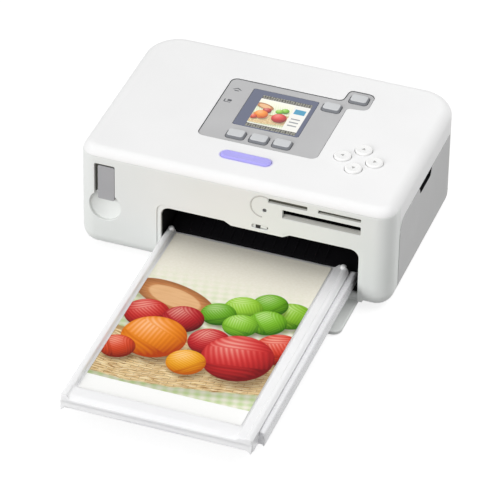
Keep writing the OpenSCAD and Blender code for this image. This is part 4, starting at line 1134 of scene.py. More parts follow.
@dataclass(frozen=True)
class ScreenFinish:
    """Acrylic window: a printed blue-grey border round a lit screen with plain blocks."""

    name: str
    cx: float
    cy: float

    def build(self) -> bpy.types.Material:
        """Makes the node material.

        Returns:
            The material.
        """
        made = bpy.data.materials.new(self.name)
        made.use_nodes = True
        tree = made.node_tree
        tree.nodes.clear()
        do = Maths(tree)
        place = add_node(tree, "ShaderNodeTexCoord").outputs["Object"]
        parts = add_node(tree, "ShaderNodeSeparateXYZ", {"Vector": place})
        x = do("SUBTRACT", do("MULTIPLY", parts.outputs["X"], 1000.0), self.cx)
        y = do("SUBTRACT", do("MULTIPLY", parts.outputs["Y"], 1000.0), self.cy)

        def patch(x0: float, x1: float, y0: float, y1: float) -> bpy.types.NodeSocket:
            """Coverage of a rectangle given in millimetres from the window's middle."""
            return do("MULTIPLY", do.inside(x, x0, x1, 0.12), do.inside(y, y0, y1, 0.12))

        grain = add_node(tree, "ShaderNodeTexNoise",
                         {"Vector": place, "Scale": 1500.0, "Detail": 2.0}).outputs["Fac"]
        marks = add_node(tree, "ShaderNodeTexVoronoi",
                         {"Vector": place, "Scale": 700.0, "Randomness": 0.3},
                         voronoi_dimensions="2D").outputs["Distance"]
        border = do.mix(do("MULTIPLY", grain, 0.3), linear("#5C637C"), linear("#6A7088"))
        bars = do.mix(do("GREATER_THAN", marks, 0.42), linear("#8C8B80"), linear("#3D3A34"))
        colour = do.mix(patch(-12.0, 16.5, -17.2, 13.8), border, bars)
        colour = do.mix(patch(-12.0, 16.5, -14.0, 10.6), colour, linear("#E9E8E2"))
        picture = WoolPicture(-12.0, self.cy - 13.2, 7.8, self.cy + 10.0, WOOL[3::2]).colour(tree)
        colour = do.mix(patch(-12.0, 7.8, -13.2, 10.0), colour, picture)
        colour = do.mix(patch(9.0, 15.2, 2.4, 7.0), colour, linear("#3D93B5"))
        for low in (-3.0, -6.2, -9.4):
            colour = do.mix(patch(9.4, 14.6, low, low + 1.1), colour, linear("#8F9296"))
        lit = patch(-12.0, 16.5, -17.2, 13.8)
        shader = add_node(tree, "ShaderNodeBsdfPrincipled",
                          {"Base Color": colour, "Roughness": 0.16, "IOR": 1.49,
                           "Coat Weight": 0.4, "Coat Roughness": 0.05,
                           "Emission Color": colour,
                           "Emission Strength": do("MULTIPLY", lit, 0.18)})
        add_node(tree, "ShaderNodeOutputMaterial", {"Surface": shader.outputs[0]})
        return made


# The object ------------------------------------------------------------------------------


@dataclass
class Casing:
    """The moulded shells: top cover, front panel, sides, door and rear."""

    paint: Materials
    panel: "ControlPanel"
    seam: float = 0.65  # gap above the side door and in front of it
    ledge: float = 2.3  # width of the sunk ledge round the opening
    dish_at: tuple[float, float] = (-73.6, 30.0)
    dish_radius: float = 9.3
    dish_depth: float = 3.2
    plug_half: float = 5.9  # half width of the plug's slot above the dish
    plug_top: float = 57.0
    notch: tuple[float, float] = (63.5, 83.0)  # y of both ends of the door's notch
    door_radius: float = 7.0  # of the door's upper front corner
    # Left, right, lower and upper edge of the card slots
    slots: tuple = ((19.9, 41.8, 56.2, 59.0), (47.9, 71.8, 56.3, 58.5), (28.0, 71.8, 48.1, 53.5))
    rows: list = field(default_factory=BodySkin.rows)
    face: BodySkin = field(default_factory=BodySkin)

    def edge(self, loop: Points, roll: float = 0.35, step: float = 1.2, wall: int = 0) -> Edge:
        """An edge of the casing that turns in to the wall's thickness."""
        return Edge(split(loop, step), roll_in(roll, WALL), wall)

    def ring(self, away: float, start: int, end: int, trim: float = 0.0) -> list:
        """Points of the skin at one distance round some corners, counter-clockwise.

        Args:
            away: Distance from the edge of the flat top.
            start: Number of the first corner.
            end: Number of the last corner.
            trim: Degrees left out at both ends.

        Returns:
            The points.
        """
        loop: list = []
        for k in range(start, end + 1):
            cx, cy, sx, sy, radius = BodySkin.CORNERS[k % 4]
            turn = {(1, -1): -90, (1, 1): 0, (-1, 1): 90, (-1, -1): 180}[(sx, sy)]
            first, last = turn + trim * (k == start), turn + 90 - trim * (k == end)
            loop += arc((cx, cy), radius + away, first, last, 18)
        return loop

    def build(self) -> None:
        """Builds every shell."""
        self.top_cover()
        self.front_panel()
        self.door()
        self.left_side()
        self.rear_panel()

    def top_cover(self) -> None:
        """Top with its recess for the panel and holes for the keys."""
        low, high = BodySkin.reach(SKIRT), BodySkin.reach(FRONT_SEAM)
        half = BodySkin.HALF
        right = [(half + high, BAND - 0.02), (half + low, BAND - 0.02)]
        left = [(-x, y) for x, y in right[::-1]]
        back = self.ring(low, 1, 2)
        front = self.ring(high, 3, 4)
        loop = np.array([*right, *back, *left, *front])
        # The walls of the outer edge and of the panel's recess take mark 1, painted grey as seam
        # shadow
        edges = [self.edge(tidy(loop), 0.22, 2.0, 1)]
        edges.append(self.edge(self.panel.outline(0.0)[::-1], 0.15, 1.2, 1))
        edges.append(self.edge(rounded(*self.panel.print_key, 29.4, 7.6, 3.8)[::-1], 0.5))
        for cx, cy in self.panel.arrows:
            edges.append(self.edge(disc(cx, cy, 4.98)[::-1], 0.3))
        shape = skin(self.face, edges, self.rows)
        halo = rounded(*self.panel.print_key, 30.6, 8.8, 4.4)
        hole = rounded(*self.panel.print_key, 29.2, 7.4, 3.7)
        rim = [(0.1, 0.0), (0.03, 0.02), (0.0, 0.06), (0.0, 0.4), (0.1, 0.5)]
        shape.join(skin(Plane((0, 0, TOP + 0.05)), [Edge(halo, rim), Edge(hole[::-1], rim)], (), 2))
        piece("top_cover_shell", shape,
              [self.paint[WHITE_ABS], self.paint[SEAM], self.paint[HALO]],
              "printer", ["top_cover"])

    def opening(self, grow: float) -> list:
        """Upper contour of the cassette opening from right to left, as fillet corners.

        Args:
            grow: How far the contour stands outside the opening.

        Returns:
            x, z and radius of each corner.
        """
        top = OPEN_TOP + grow
        dip = top - 2.2
        return [
            (OPEN_X1 + grow, top, 5.0), (32.1, top, 2.0), (28.1, dip, 2.0),
            (-1.2, dip, 2.0), (-5.2, top, 2.0), (OPEN_X0 - grow, top, 5.0),
        ]

    def front_panel(self) -> None:
        """Front with its openings, ledge, dish and slot lips."""
        high, low = BodySkin.reach(FRONT_SEAM - 0.04), BodySkin.reach(UNDER + 0.001)
        half = BodySkin.HALF
        ledge, under = self.ledge, BodySkin.Y0 - low - 6.2
        corner = self.ring(low + 0.85, 4, 4)
        corner_left = self.ring(low + 0.85, 3, 3)
        seam_right, seam_left = self.ring(high, 4, 4), self.ring(high, 3, 3)
        notch = [(x, BodySkin.front(x, z)[1], r) for x, z, r in self.opening(ledge)]
        notch = fillet([(OPEN_X1 + ledge, under, 0), *notch, (OPEN_X0 - ledge, under, 0)])
        loop = [
            *seam_left[::-1], (-half - high, BAND - 0.06), (-half - low - 0.85, BAND - 0.06),
            *corner_left, (corner_left[-1][0], under), *[tuple(p) for p in notch[::-1]],
            (corner[0][0], under), *corner, (half + low + 0.85, BAND - 0.06),
            (half + high, BAND - 0.06), *seam_right[::-1],
        ]
        edges = [self.edge(tidy(np.array(loop)), 0.25, 1.6)]
        for x0, x1, z0, z1 in self.slots:
            cx, cy = (x0 + x1) / 2, (BodySkin.front(0, z0)[1] + BodySkin.front(0, z1)[1]) / 2
            edges.append(self.edge(rounded(cx, cy, x1 - x0, z1 - z0, 0.45, 3)[::-1], 0.3))
        lamp = disc(LAMP[0], BodySkin.front(0, LAMP[1])[1], 1.15, 20)
        latch = rounded(15.45, BodySkin.front(0, 39.1)[1], 9.3, 2.4, 1.2, 6)
        edges.append(self.edge(lamp[::-1], 0.2))
        edges.append(self.edge(self.keyhole()[::-1], 0.35))
        edges.append(self.edge(latch[::-1], 0.35))
        shape = skin(self.face, edges, self.rows)
        for part in (self.frame, self.dish, self.lips, self.latch_floor):
            shape.join(part())
        # Mark 1 is painted shadow in the plug's, slots' and latch's recesses; mark 2 is the lips'
        # painted shade
        piece("front_panel_shell", shape,
              [self.paint[FRONT_ABS], self.paint[RECESS_SHADE], self.paint[LIP_SHADE]],
              "printer", ["front_panel"])

    def keyhole(self) -> Points:
        """Outline of the plug slot and the finger dish together, on the opened skin."""
        (cx, cz), radius, half, top = self.dish_at, self.dish_radius, self.plug_half, self.plug_top
        start = math.degrees(math.asin(math.sqrt(radius**2 - half**2) / radius))
        loop = arc((cx, cz), radius, 180 - start, 360 + start, 40)
        loop += arc((cx + half - 1, top - 1), 1, 0, 90, 5)
        loop += arc((cx - half + 1, top - 1), 1, 90, 180, 5)
        return np.array([BodySkin.front(x, z) for x, z in loop])

    def frame(self) -> Shape:
        """Sunk ledge round the opening."""
        ledge = self.ledge
        plane = Plane((0, FRONT + 0.7, 0), (1, 0, 0), (0, 0, 1))
        outer = fillet([(OPEN_X1 + ledge + 0.4, UNDER + 2.3, 0),
                        *self.opening(ledge + 0.4), (OPEN_X0 - ledge - 0.4, UNDER + 2.3, 0)])
        inner = fillet([(OPEN_X1, UNDER + 2.3, 0), *self.opening(0.0), (OPEN_X0, UNDER + 2.3, 0)])
        loop = split(tidy(np.vstack((outer, inner[::-1]))), 2.0)
        return skin(plane, [Edge(loop, roll_in(0.4, 3.2))])

    def dish(self) -> Shape:
        """Round bowl under the plug, and a dark plate behind its slot as painted shadow."""
        radius, deep = self.dish_radius, self.dish_depth
        sphere = (radius**2 + deep**2) / (2 * deep)

        def lift(points: Points) -> np.ndarray:
            """Height of the bowl's face."""
            away = np.minimum(np.linalg.norm(points, axis=1), radius)
            return -(np.sqrt(sphere**2 - away**2) - (sphere - deep))

        plane = Plane((self.dish_at[0], FRONT + 1.55, self.dish_at[1]), (1, 0, 0), (0, 0, 1), lift)
        rings = [disc(0, 0, radius * k / 12, 48) for k in range(1, 12)]
        lines = [np.vstack((r, r[:1])) for r in rings]
        rim = [(0.05, 0), (0, 0.2), (0, 1.0), (0.05, 1.2)]
        bowl = skin(plane, [Edge(disc(0, 0, radius + 0.4, 48), rim)], lines)
        # Dark plate behind the plug's slot: painted shadow
        back = block((-80.0, FRONT + WALL - 0.3, 38.6), (-67.2, FRONT + WALL + 0.7, 57.5), 0.2, 1)
        return bowl.join(back)

    def lips(self) -> Shape:
        """Sloped lower lips of the card slots, grey as painted shade; the wide one has two fine
        guide ridges.
        """
        shape = Shape()
        for x0, x1, z0, z1 in self.slots:
            wide = z1 - z0 > 4
            rise = 1.45 if wide else 0.3 * (z1 - z0)
            ends = (x1 + 0.2, x0 - 0.2)
            section = fillet([
                (FRONT + 0.45, z0 - 0.4, 0.1), (FRONT + WALL + 0.6, z0 - 0.4, 0.1),
                (FRONT + WALL + 0.6, z0 + rise, 0.15), (FRONT + WALL, z0 + rise, 0.15),
                (FRONT + 0.45, z0 + 0.15, 0.12)], 4)
            rings = [np.column_stack((np.full(len(section), x), section)) for x in ends]
            shape.join(loft(rings, 2))
            if not wide:
                # Dark lining behind a small slot: painted shadow
                lining = FRONT + 1.25
                shape.join(block((x0 - 0.6, lining, z0 - 0.6), (x1 + 0.6, lining + 0.9, z1 - 0.15),
                                 0.2, 1))
            else:
                for share in (0.35, 0.7):
                    y, z = FRONT + 0.45 + 1.75 * share, z0 + 0.2 + (rise - 0.15) * share
                    ridge = np.array([(x, y, z) for x in np.linspace(x0 + 0.3, x1 - 0.3, 30)])
                    shape.join(cord(ridge, 0.2, 2, 6))
        return shape

    def latch_floor(self) -> Shape:
        """Floor of the latch's recess: bright left of the knob, painted shadow round the slide."""
        left = block((10.6, FRONT + 1.1, 37.7), (14.6, FRONT + 2.0, 40.5), 0.2)
        return left.join(block((14.6, FRONT + 1.3, 37.7), (20.3, FRONT + 2.2, 40.5), 0.2, 1))

    def door(self) -> None:
        """Side door with its round upper front corner, finger notch and embossed line."""
        half, gap = BodySkin.HALF, self.seam
        high, foot = SKIRT - gap, BASE_RIM + 0.3
        top, low = half + BodySkin.reach(high), half + BodySkin.reach(foot)
        y0, y1 = BAND + gap, REAR_BAND - 0.5
        n0, n1 = self.notch
        notch = half + BodySkin.reach(SKIRT - 5.6)
        loop = fillet([
            (top, y0, self.door_radius), (low, y0, 0.8), (*BodySkin.right(y1, foot), 0.8),
            (*BodySkin.right(y1, high), 1.2), (top, n1 + 1.2, 0.6), (notch, n1 - 0.8, 1.8),
            (notch, n0 + 0.8, 1.8), (top, n0 - 1.2, 0.6),
        ])
        # The door's edge walls take mark 2: painted near black as the shadow in its seam
        shape = skin(self.face, [self.edge(loop, 0.25, 1.2, 2)], self.rows)
        path = np.array([
            (SIDE - 0.17, y, 27.0 - 0.012 * (y - 54)) for y in np.linspace(54, 86, 24)
        ])
        shape.join(cord(path, 0.16, 1))
        piece("side_door_shell", shape,
              [self.paint[SIDE_ABS], self.paint[LINE_GREY], self.paint[BLACK_SHADE]],
              "ink_door", ["ink_door"])
        # Near-black block inside the finger notch: painted shadow
        cavity = block((SIDE - 4.2, n0 - 1.0, SKIRT - 6.4),
                       (SIDE - 2.4, n1 + 1.0, SKIRT - 0.5), 0.3)
        piece("door_notch_shadow_block", cavity, [self.paint[BLACK_SHADE]], "printer")
        edge, radius = half + BodySkin.reach(SKIRT), self.door_radius
        fill = fillet([
            (edge, BAND, 0), (half + BodySkin.reach(SKIRT - 8), BAND, 0),
            (half + BodySkin.reach(SKIRT - 6.6), BAND + 0.5, 0.0),
            *[(edge + radius - radius * math.sin(math.radians(a)),
               BAND + radius - radius * math.cos(math.radians(a)), 0)
              for a in (15, 30, 45, 60, 75)],
            (edge, BAND + 7.2, 0),
        ])
        # Its edge walls take mark 1: painted grey as seam shadow
        corner = skin(self.face, [Edge(split(fill[::-1], 1.0), roll_in(0.08, WALL), 1)], self.rows)
        piece("door_corner_fill", corner, [self.paint[FRONT_ABS], self.paint[SEAM]], "printer")

    def left_side(self) -> None:
        """Left side between the front and rear panels."""
        y0, y1 = BAND + 0.1, REAR_BAND - 0.1
        corners = [(y0, BASE_RIM + 0.1), (y0, SKIRT - 0.1), (y1, SKIRT - 0.1), (y1, BASE_RIM + 0.1)]
        loop = fillet([(-x, y, 0.5) for x, y in (BodySkin.right(*c) for c in corners)])
        shape = skin(self.face, [self.edge(loop, 0.3)], self.rows)
        piece("left_side_shell", shape, [self.paint[SIDE_ABS]], "printer",
              ["left_side_panel"])

    def rear_panel(self) -> None:
        """Rear with its paper slot, vents and sockets."""
        top, low = BodySkin.reach(SKIRT - 0.1), BodySkin.reach(BASE_RIM + 0.1)
        trim = math.degrees(math.asin((REAR_BAND + 0.1 - BACK + REAR_CORNER) / REAR_CORNER))
        lift = BodySkin.Y1

        def at(z: float) -> float:
            """Place of a height of the rear wall on the opened skin."""
            return lift + BodySkin.reach(z)

        outer = [*self.ring(low, 1, 2, trim), *self.ring(top, 1, 2, trim)[::-1]]
        edges = [self.edge(tidy(np.array(outer)), 0.3, 1.6)]
        edges.append(self.edge(rounded(9.4, at(30.0), 95.0, 6.0, 0.8, 4)[::-1], 0.5))
        edges += [
            self.edge(rounded(9.4 + (i - 8.5) * 4, at(42.0), 1.6, 10.0, 0.79, 5)[::-1], 0.3)
            for i in range(18)
        ]
        edges.append(self.edge(disc(-56.0, at(20.0), 3.6, 28)[::-1], 0.3))
        edges.append(self.edge(rounded(66.0, at(16.5), 12.4, 11.4, 0.6, 3)[::-1], 0.3))
        shape = skin(self.face, edges, self.rows)
        piece("rear_panel_shell", shape, [self.paint[FRONT_ABS]], "printer",
              ["rear_panel"])


@dataclass
class ControlPanel:
    """Silver panel with the screen and all keys."""

    paint: Materials
    plate: tuple = (0.75, 75.75, 68.5, 58.5, 4.0)  # middle, width, depth, corner radius
    print_key: tuple[float, float] = (-0.5, 34.2)
    print_size: tuple[float, float, float] = (28.8, 7.0, 3.5)  # length, depth, end radius
    arrows: tuple = ((56.2, 63.8), (56.2, 45.8), (47.2, 54.8), (65.2, 54.8))
    arrow_radius: float = 4.72
    soft_keys: tuple = ((-13.2, 53.8), (0.0, 53.8), (13.2, 53.8))
    menu_key: tuple[float, float] = (26.9, 96.3)
    power_key: tuple[float, float] = (38.6, 108.7)
    key_size: tuple[float, float] = (10.5, 8.0)
    screen: tuple[float, float, float, float] = (0.0, 81.35, 37.7, 36.1)

    def outline(self, inset: float) -> Points:
        """Outline of the silver panel with its bump for the power key.

        Args:
            inset: Distance from the panel's own edge.

        Returns:
            The closed outline, counter-clockwise.
        """
        cx, cy, width, depth, radius = self.plate
        x0, x1, y0, y1 = cx - width / 2, cx + width / 2, cy - depth / 2, cy + depth / 2
        loop = fillet([
            (x0, y0, radius), (x1, y0, radius), (x1, 98.7, 2.5), (46.2, 100.0, 3.6),
            (46.2, 116.2, 4.2), (31.0, 116.2, 3.0), (30.2, y1, 3.0), (x0, y1, radius),
        ])
        return shift(loop, inset)

    def build(self) -> None:
        """Builds the panel, the screen and the keys."""
        plane = Plane((0, 0, 65.6))
        keys = (*self.soft_keys, self.menu_key, self.power_key)
        edges = [Edge(split(self.outline(0.3), 2.0), roll_in(0.25, 1.0))]
        edges.append(Edge(rounded(*self.screen[:2], 38.1, 36.5, 1.2, 4)[::-1], roll_in(0.15, 1.0)))
        edges += [Edge(rounded(x, y, 11.1, 8.6, 2.1, 5)[::-1], roll_in(0.15, 1.0)) for x, y in keys]
        shape = skin(plane, edges)
        piece("silver_panel_plate", shape, [self.paint[SILVER]], "printer",
              ["control_panel"])
        # Dark sheet under the panel's edge: painted shadow in the gap round the panel
        well = skin(Plane((0, 0, 64.85)), [Edge(split(self.outline(0.02), 2.0), roll_in(0.1, 0.6))])
        piece("panel_well_painted_shadow", well, [self.paint[SHADOW_GAP]], "printer")
        window = ScreenFinish("acrylic_window_over_lit_screen", *self.screen[:2]).build()
        glass = skin(Plane((0, 0, 65.5)), [Edge(rounded(*self.screen, 1.0, 4), roll_in(0.2, 0.9))])
        piece("screen_window", glass, [window], "printer", ["lcd_window"])
        names = ("soft_key_left", "soft_key_middle", "soft_key_right", "menu_key", "power_key")
        for name, (x, y) in zip(names, keys):
            self.panel_key(name, x, y)
        ways = ("up", "down", "left", "right")
        for way, (x, y) in zip(ways, self.arrows):
            turn = {"up": 90, "down": -90, "left": 180, "right": 0}[way]
            sign = np.array(arc((x, y), 1.25, turn, turn + 240, 2))
            self.cap(f"arrow_key_{way}", disc(x, y, self.arrow_radius, 48), 67.2, 0.9, 0.3,
                     (x, y), [KEY_WHITE, ARROW_GREY], sign)
        x, y = self.print_key
        self.cap("print_key", rounded(x, y, *self.print_size, 12), 67.0, 1.1, 0.3, (x, y),
                 [KEY_LAVENDER, KEY_LAVENDER])
        self.icons()

    def panel_key(self, body: str, x: float, y: float) -> None:
        """One raised silver key with a bright face and a sloping skirt painted darker as shade.

        Args:
            body: CAD body and node of the key.
            x: Middle of the key, to the right.
            y: Middle of the key, to the rear.
        """
        width, depth = self.key_size
        top, low, foot = 67.0, 65.75, 61.0
        rings = []
        for z, out, radius in (
            (top + 0.1, -2.6, 1.0), (top + 0.08, -1.5, 1.2), (top, -0.95, 1.4),
            (top - 0.12, -0.75, 1.5), (top - 0.35, -0.6, 1.6), (low, -0.05, 1.8),
            (low - 0.3, 0.0, 1.8), (foot, 0.0, 1.8),
        ):
            loop = rounded(x, y, width + 2 * out, depth + 2 * out, radius, 6)
            rings.append(np.column_stack((loop, np.full(len(loop), z))))
        shape = loft(rings)
        heights = np.array([np.mean([shape.verts[i][2] for i in f]) for f in shape.faces])
        # Faces below the rim take the skirt's painted shade
        shape.marks = [int(h < top - 0.2) for h in heights]
        piece(f"{body}_cap", shape, [self.paint[KEY_SILVER], self.paint[KEY_SKIRT_SHADE]], body,
              [body])

    def cap(
        self, name: str, loop: Points, top: float, roll: float, dip: float,
        middle: tuple[float, float], finishes: Sequence[Finish],
        sign: Points | None = None,
    ) -> None:
        """One round or pill-shaped key with a rolled rim and a slightly hollow face.

        Args:
            name: CAD body and node, and the piece's name before _cap.
            loop: Outline of the key.
            top: Height of its rim.
            roll: Radius of its rim.
            dip: Depth of the hollow in its face.
            middle: Middle of the face.
            finishes: Materials.
            sign: Outline of a raised sign on the face.
        """
        rings = []
        inner = shift(loop, roll)
        for share in (0.15, 0.4, 0.65, 0.85, 1.0):
            flat = np.array(middle) + (inner - middle) * share
            rings.append(np.column_stack((flat, np.full(len(flat), top - dip * (1 - share**2)))))
        for k in range(1, 6):
            a = math.pi / 2 * k / 5
            flat = shift(loop, roll * (1 - math.sin(a)))
            height = np.full(len(flat), top - roll * (1 - math.cos(a)))
            rings.append(np.column_stack((flat, height)))
        rings += [np.column_stack((loop, np.full(len(loop), z))) for z in (63.0, 61.0)]
        shape = loft(rings)
        if sign is not None:
            rim = [(0.04, 0.0), (0.0, 0.03), (0.0, 0.3), (0.04, 0.34)]
            shape.join(skin(Plane((0, 0, top - dip + 0.08)), [Edge(sign, rim)], (), 1))
        piece(f"{name}_cap", shape, [self.paint[f] for f in finishes], name, [name])

    def icons(self) -> None:
        """Two small plain symbols beside the screen: a sheet under a roof, and a framed view."""
        shape = Shape()
        plane = Plane((0, 0, 65.64))

        def mark(loop: Points) -> None:
            """Adds one inked form."""
            shape.join(skin(plane, [Edge(loop, [(0.02, 0), (0, 0.02), (0, 0.06), (0.02, 0.08)])]))

        x, y = -27.2, 94.6
        mark(fillet([(x - 2.6, y, 0), (x, y + 1.9, 0.2), (x + 2.6, y, 0), (x + 1.7, y, 0.1),
                     (x, y + 1.2, 0.2), (x - 1.7, y, 0.1)]))
        mark(rounded(x, y - 0.9, 2.6, 0.7, 0.2, 3))
        x, y = -28.3, 82.9
        mark(fillet([(x - 2.4, y - 1.4, 0.2), (x + 1.6, y - 1.4, 0.2), (x + 1.6, y - 0.9, 0.1),
                     (x - 1.8, y - 0.9, 0.1), (x - 1.8, y + 1.4, 0.1), (x - 2.4, y + 1.4, 0.2)]))
        mark(rounded(x + 0.6, y + 0.7, 2.4, 1.8, 0.4, 4))
        piece("panel_symbols", shape, [self.paint[ICON_GREY]], "printer")


@dataclass
class FrontDetails:
    """Small pieces of the front: latch knob, plug grip, lamp and the printed guide line."""

    paint: Materials
    grip_at: tuple[float, float] = (-72.9, 44.7)
    grip_size: tuple[float, float] = (9.7, 21.8)
    # Radius and depth of the lamp's rings, from its middle outward
    lamp_rings: tuple = ((0.3, 0.1), (0.7, 0.13), (0.95, 0.25), (1.1, 0.45), (1.1, 3.0))
    line_at: tuple[float, float] = (16.6, 52.9)
    line_reach: tuple[float, float] = (6.6, 6.7)  # half width and half height
    line_radius: float = 0.58

    def build(self) -> None:
        """Builds the small front pieces."""
        knob = block((13.0, FRONT + 0.15, 38.0), (15.5, FRONT + 1.25, 40.25), 0.2)
        piece("cover_latch_knob", knob, [self.paint[BLACK_ABS]], "printer",
              ["cover_latch"])
        slide = block((15.6, FRONT + 0.5, 38.35), (19.3, FRONT + 1.2, 39.85), 0.3)
        piece("cover_latch_slide", slide, [self.paint[FRONT_ABS]], "printer")
        plane = Plane((self.grip_at[0], FRONT + 0.65, self.grip_at[1]), (1, 0, 0), (0, 0, 1))
        outline = rounded(0, 0, *self.grip_size, 1.0, 5)
        # The plate's sides take the painted shadow of the gap round the plug
        grip = skin(plane, [Edge(outline, roll_in(0.4, 11.3), 1)])
        piece("usb_plug_grip_plate", grip, [self.paint[GRIP_ABS], self.paint[GRIP_SIDE_SHADE]],
              "usb_plug", ["usb_plug_grip"])
        rings = []
        for radius, depth in self.lamp_rings:
            loop = disc(*LAMP, radius, 24)
            y = np.full(len(loop), FRONT + depth)
            rings.append(np.column_stack((loop[:, 0], y, loop[:, 1])))
        piece("access_lamp_pipe", loft(rings), [self.paint[SMOKED]], "printer",
              ["access_lamp"])
        (cx, cz), (wide, high) = self.line_at, self.line_reach
        path = []
        for t in np.linspace(0, 1, 40):
            angle = math.radians(62 + 206 * t)
            path.append((cx + wide * math.cos(angle), FRONT + 0.3, cz + high * math.sin(angle)))
        line = cord(np.array(path), self.line_radius)
        piece("slot_guide_line", line, [self.paint[LINE_GREY]], "printer")


@dataclass
class FrontCover:
    """Open flap under the cassette, with round outer corners and a hinge barrel."""

    paint: Materials
    axis: tuple[float, float] = (FRONT + 5, 4.6)  # y and z of the hinge
    barrel: float = 2.0  # radius of the hinge barrel
    pin: float = 1.2  # radius of its pins

    def build(self) -> None:
        """Builds the flap and its hinge barrel."""
        x0, x1 = OPEN_X0 + 0.3, OPEN_X1 - 0.3
        y0, y1 = FRONT - 27.5, FRONT + 5.0
        loop = fillet([(x0, y0, 5.0), (x1, y0, 5.0), (x1, y1, 0.3), (x0, y1, 0.3)])
        shape = skin(Plane((0, 0, 2.7)), [Edge(split(loop, 4.0), roll_in(0.7, 2.3, 4, 0.4))])
        turn = np.radians(np.linspace(0, 360, 28, endpoint=False))
        cy, cz = self.axis
        for lo, hi, radius in ((x0, x1, self.barrel), (x0 - 2.0, x0 + 0.4, self.pin),
                               (x1 - 0.4, x1 + 2.0, self.pin)):
            ring = np.column_stack((cy + radius * np.cos(turn), cz + radius * np.sin(turn)))
            ends = ((hi, 0.85), (hi - 0.15, 1.0), (lo + 0.15, 1.0), (lo, 0.85))
            shape.join(loft([
                np.column_stack((np.full(len(ring), x), (ring - self.axis) * k + self.axis))
                for x, k in ends
            ]))
        shape.join(block((x0, FRONT + 3.2, 0.4), (x1, FRONT + 6.8, 4.6), 0.3))
        piece("front_cover_flap", shape, [self.paint[FRONT_ABS]], "front_cover",
              ["front_cover"])


def repeat_group(name: str, count: int, pitch: float) -> bpy.types.NodeTree:
    """Geometry Nodes group that repeats a mesh along X with a material.

    Args:
        name: Name of the group.
        count: How many copies.
        pitch: Distance between copies in millimetres.

    Returns:
        The group, with the inputs Geometry, Count, Pitch and Material.
    """
    group = bpy.data.node_groups.new(name, "GeometryNodeTree")
    sockets = (("Geometry", "INPUT", "NodeSocketGeometry"), ("Count", "INPUT", "NodeSocketInt"),
               ("Pitch", "INPUT", "NodeSocketFloat"), ("Material", "INPUT", "NodeSocketMaterial"),
               ("Geometry", "OUTPUT", "NodeSocketGeometry"))
    for label, way, kind in sockets:
        made = group.interface.new_socket(label, in_out=way, socket_type=kind)
        if label == "Count":
            made.default_value = count
        if label == "Pitch":
            made.default_value = pitch * MM
    given = add_node(group, "NodeGroupInput")
    offset = add_node(group, "ShaderNodeCombineXYZ", {"X": given.outputs["Pitch"]})
    line = add_node(group, "GeometryNodeMeshLine",
                    {"Count": given.outputs["Count"], "Offset": offset.outputs[0]})
    spread = add_node(group, "GeometryNodeInstanceOnPoints",
                      {"Points": line.outputs[0], "Instance": given.outputs["Geometry"]})
    real = add_node(group, "GeometryNodeRealizeInstances", {"Geometry": spread.outputs[0]})
    dressed = add_node(group, "GeometryNodeSetMaterial",
                       {"Geometry": real.outputs[0], "Material": given.outputs["Material"]})
    add_node(group, "NodeGroupOutput", {"Geometry": dressed.outputs[0]})
    return group


def repeated(
    shape: Shape, name: str, count: int, pitch: float, finish: bpy.types.Material
) -> Shape:
    """Repeats a shape along X with Geometry Nodes.

    Args:
        shape: The first copy.
        name: Name for the group.
        count: How many copies.
        pitch: Distance between copies in millimetres.
        finish: Material that the group sets.

    Returns:
        All copies as one shape in millimetres.
    """
    mesh = bpy.data.meshes.new(name)
    mesh.from_pydata([tuple(c * MM for c in v) for v in shape.verts], [], shape.faces)
    holder = bpy.data.objects.new(name, mesh)
    bpy.context.scene.collection.objects.link(holder)
    group = repeat_group(name, count, pitch)
    modifier = holder.modifiers.new(name, "NODES")
    modifier.node_group = group
    for item in group.interface.items_tree:
        if item.name == "Material" and item.in_out == "INPUT":
            modifier[item.identifier] = finish
    graph = bpy.context.evaluated_depsgraph_get()
    done = bpy.data.meshes.new_from_object(holder.evaluated_get(graph))
    out = Shape([tuple(c / MM for c in v.co) for v in done.vertices],
                [tuple(f.vertices) for f in done.polygons], [0] * len(done.polygons))
    bpy.data.objects.remove(holder)
    bpy.data.meshes.remove(mesh)
    bpy.data.meshes.remove(done)
    return out


@dataclass
class ExitGuide:
    """Black ribbed ramp in the bay, over which a print slides out onto the cassette."""

    paint: Materials
    x0: float = -39.4
    x1: float = 69.2
    ribs: int = 14
    first_rib: float = -30.0
    rib_width: float = 1.2
    pitch: float = 6.0

    def build(self) -> None:
        """Builds the ramp and its ribs."""
        section = fillet([
            (24.3, 15.0, 0.3), (36.9, 15.0, 0.3), (36.9, 19.9, 0.8), (35.2, 20.2, 1.5),
            (24.3, 16.3, 0.5)], 5)
        ends = (self.x1, self.x0)
        shape = loft([np.column_stack((np.full(len(section), x), section)) for x in ends])
        rib = fillet([(24.8, 15.4, 0.2), (36.5, 15.4, 0.2), (36.5, 20.3, 0.5), (35.2, 20.5, 1.5),
                      (24.8, 16.6, 0.4)], 4)
        ends = (self.first_rib + self.rib_width, self.first_rib)
        rings = [np.column_stack((np.full(len(rib), x), rib)) for x in ends]
        # Near-black painted shade of the deep bay, darker than black ABS
        finish = self.paint[BLACK_SHADE]
        shape.join(repeated(loft(rings), "ramp_ribs", self.ribs, self.pitch, finish))
        piece("exit_guide_ramp", shape, [finish], "printer")


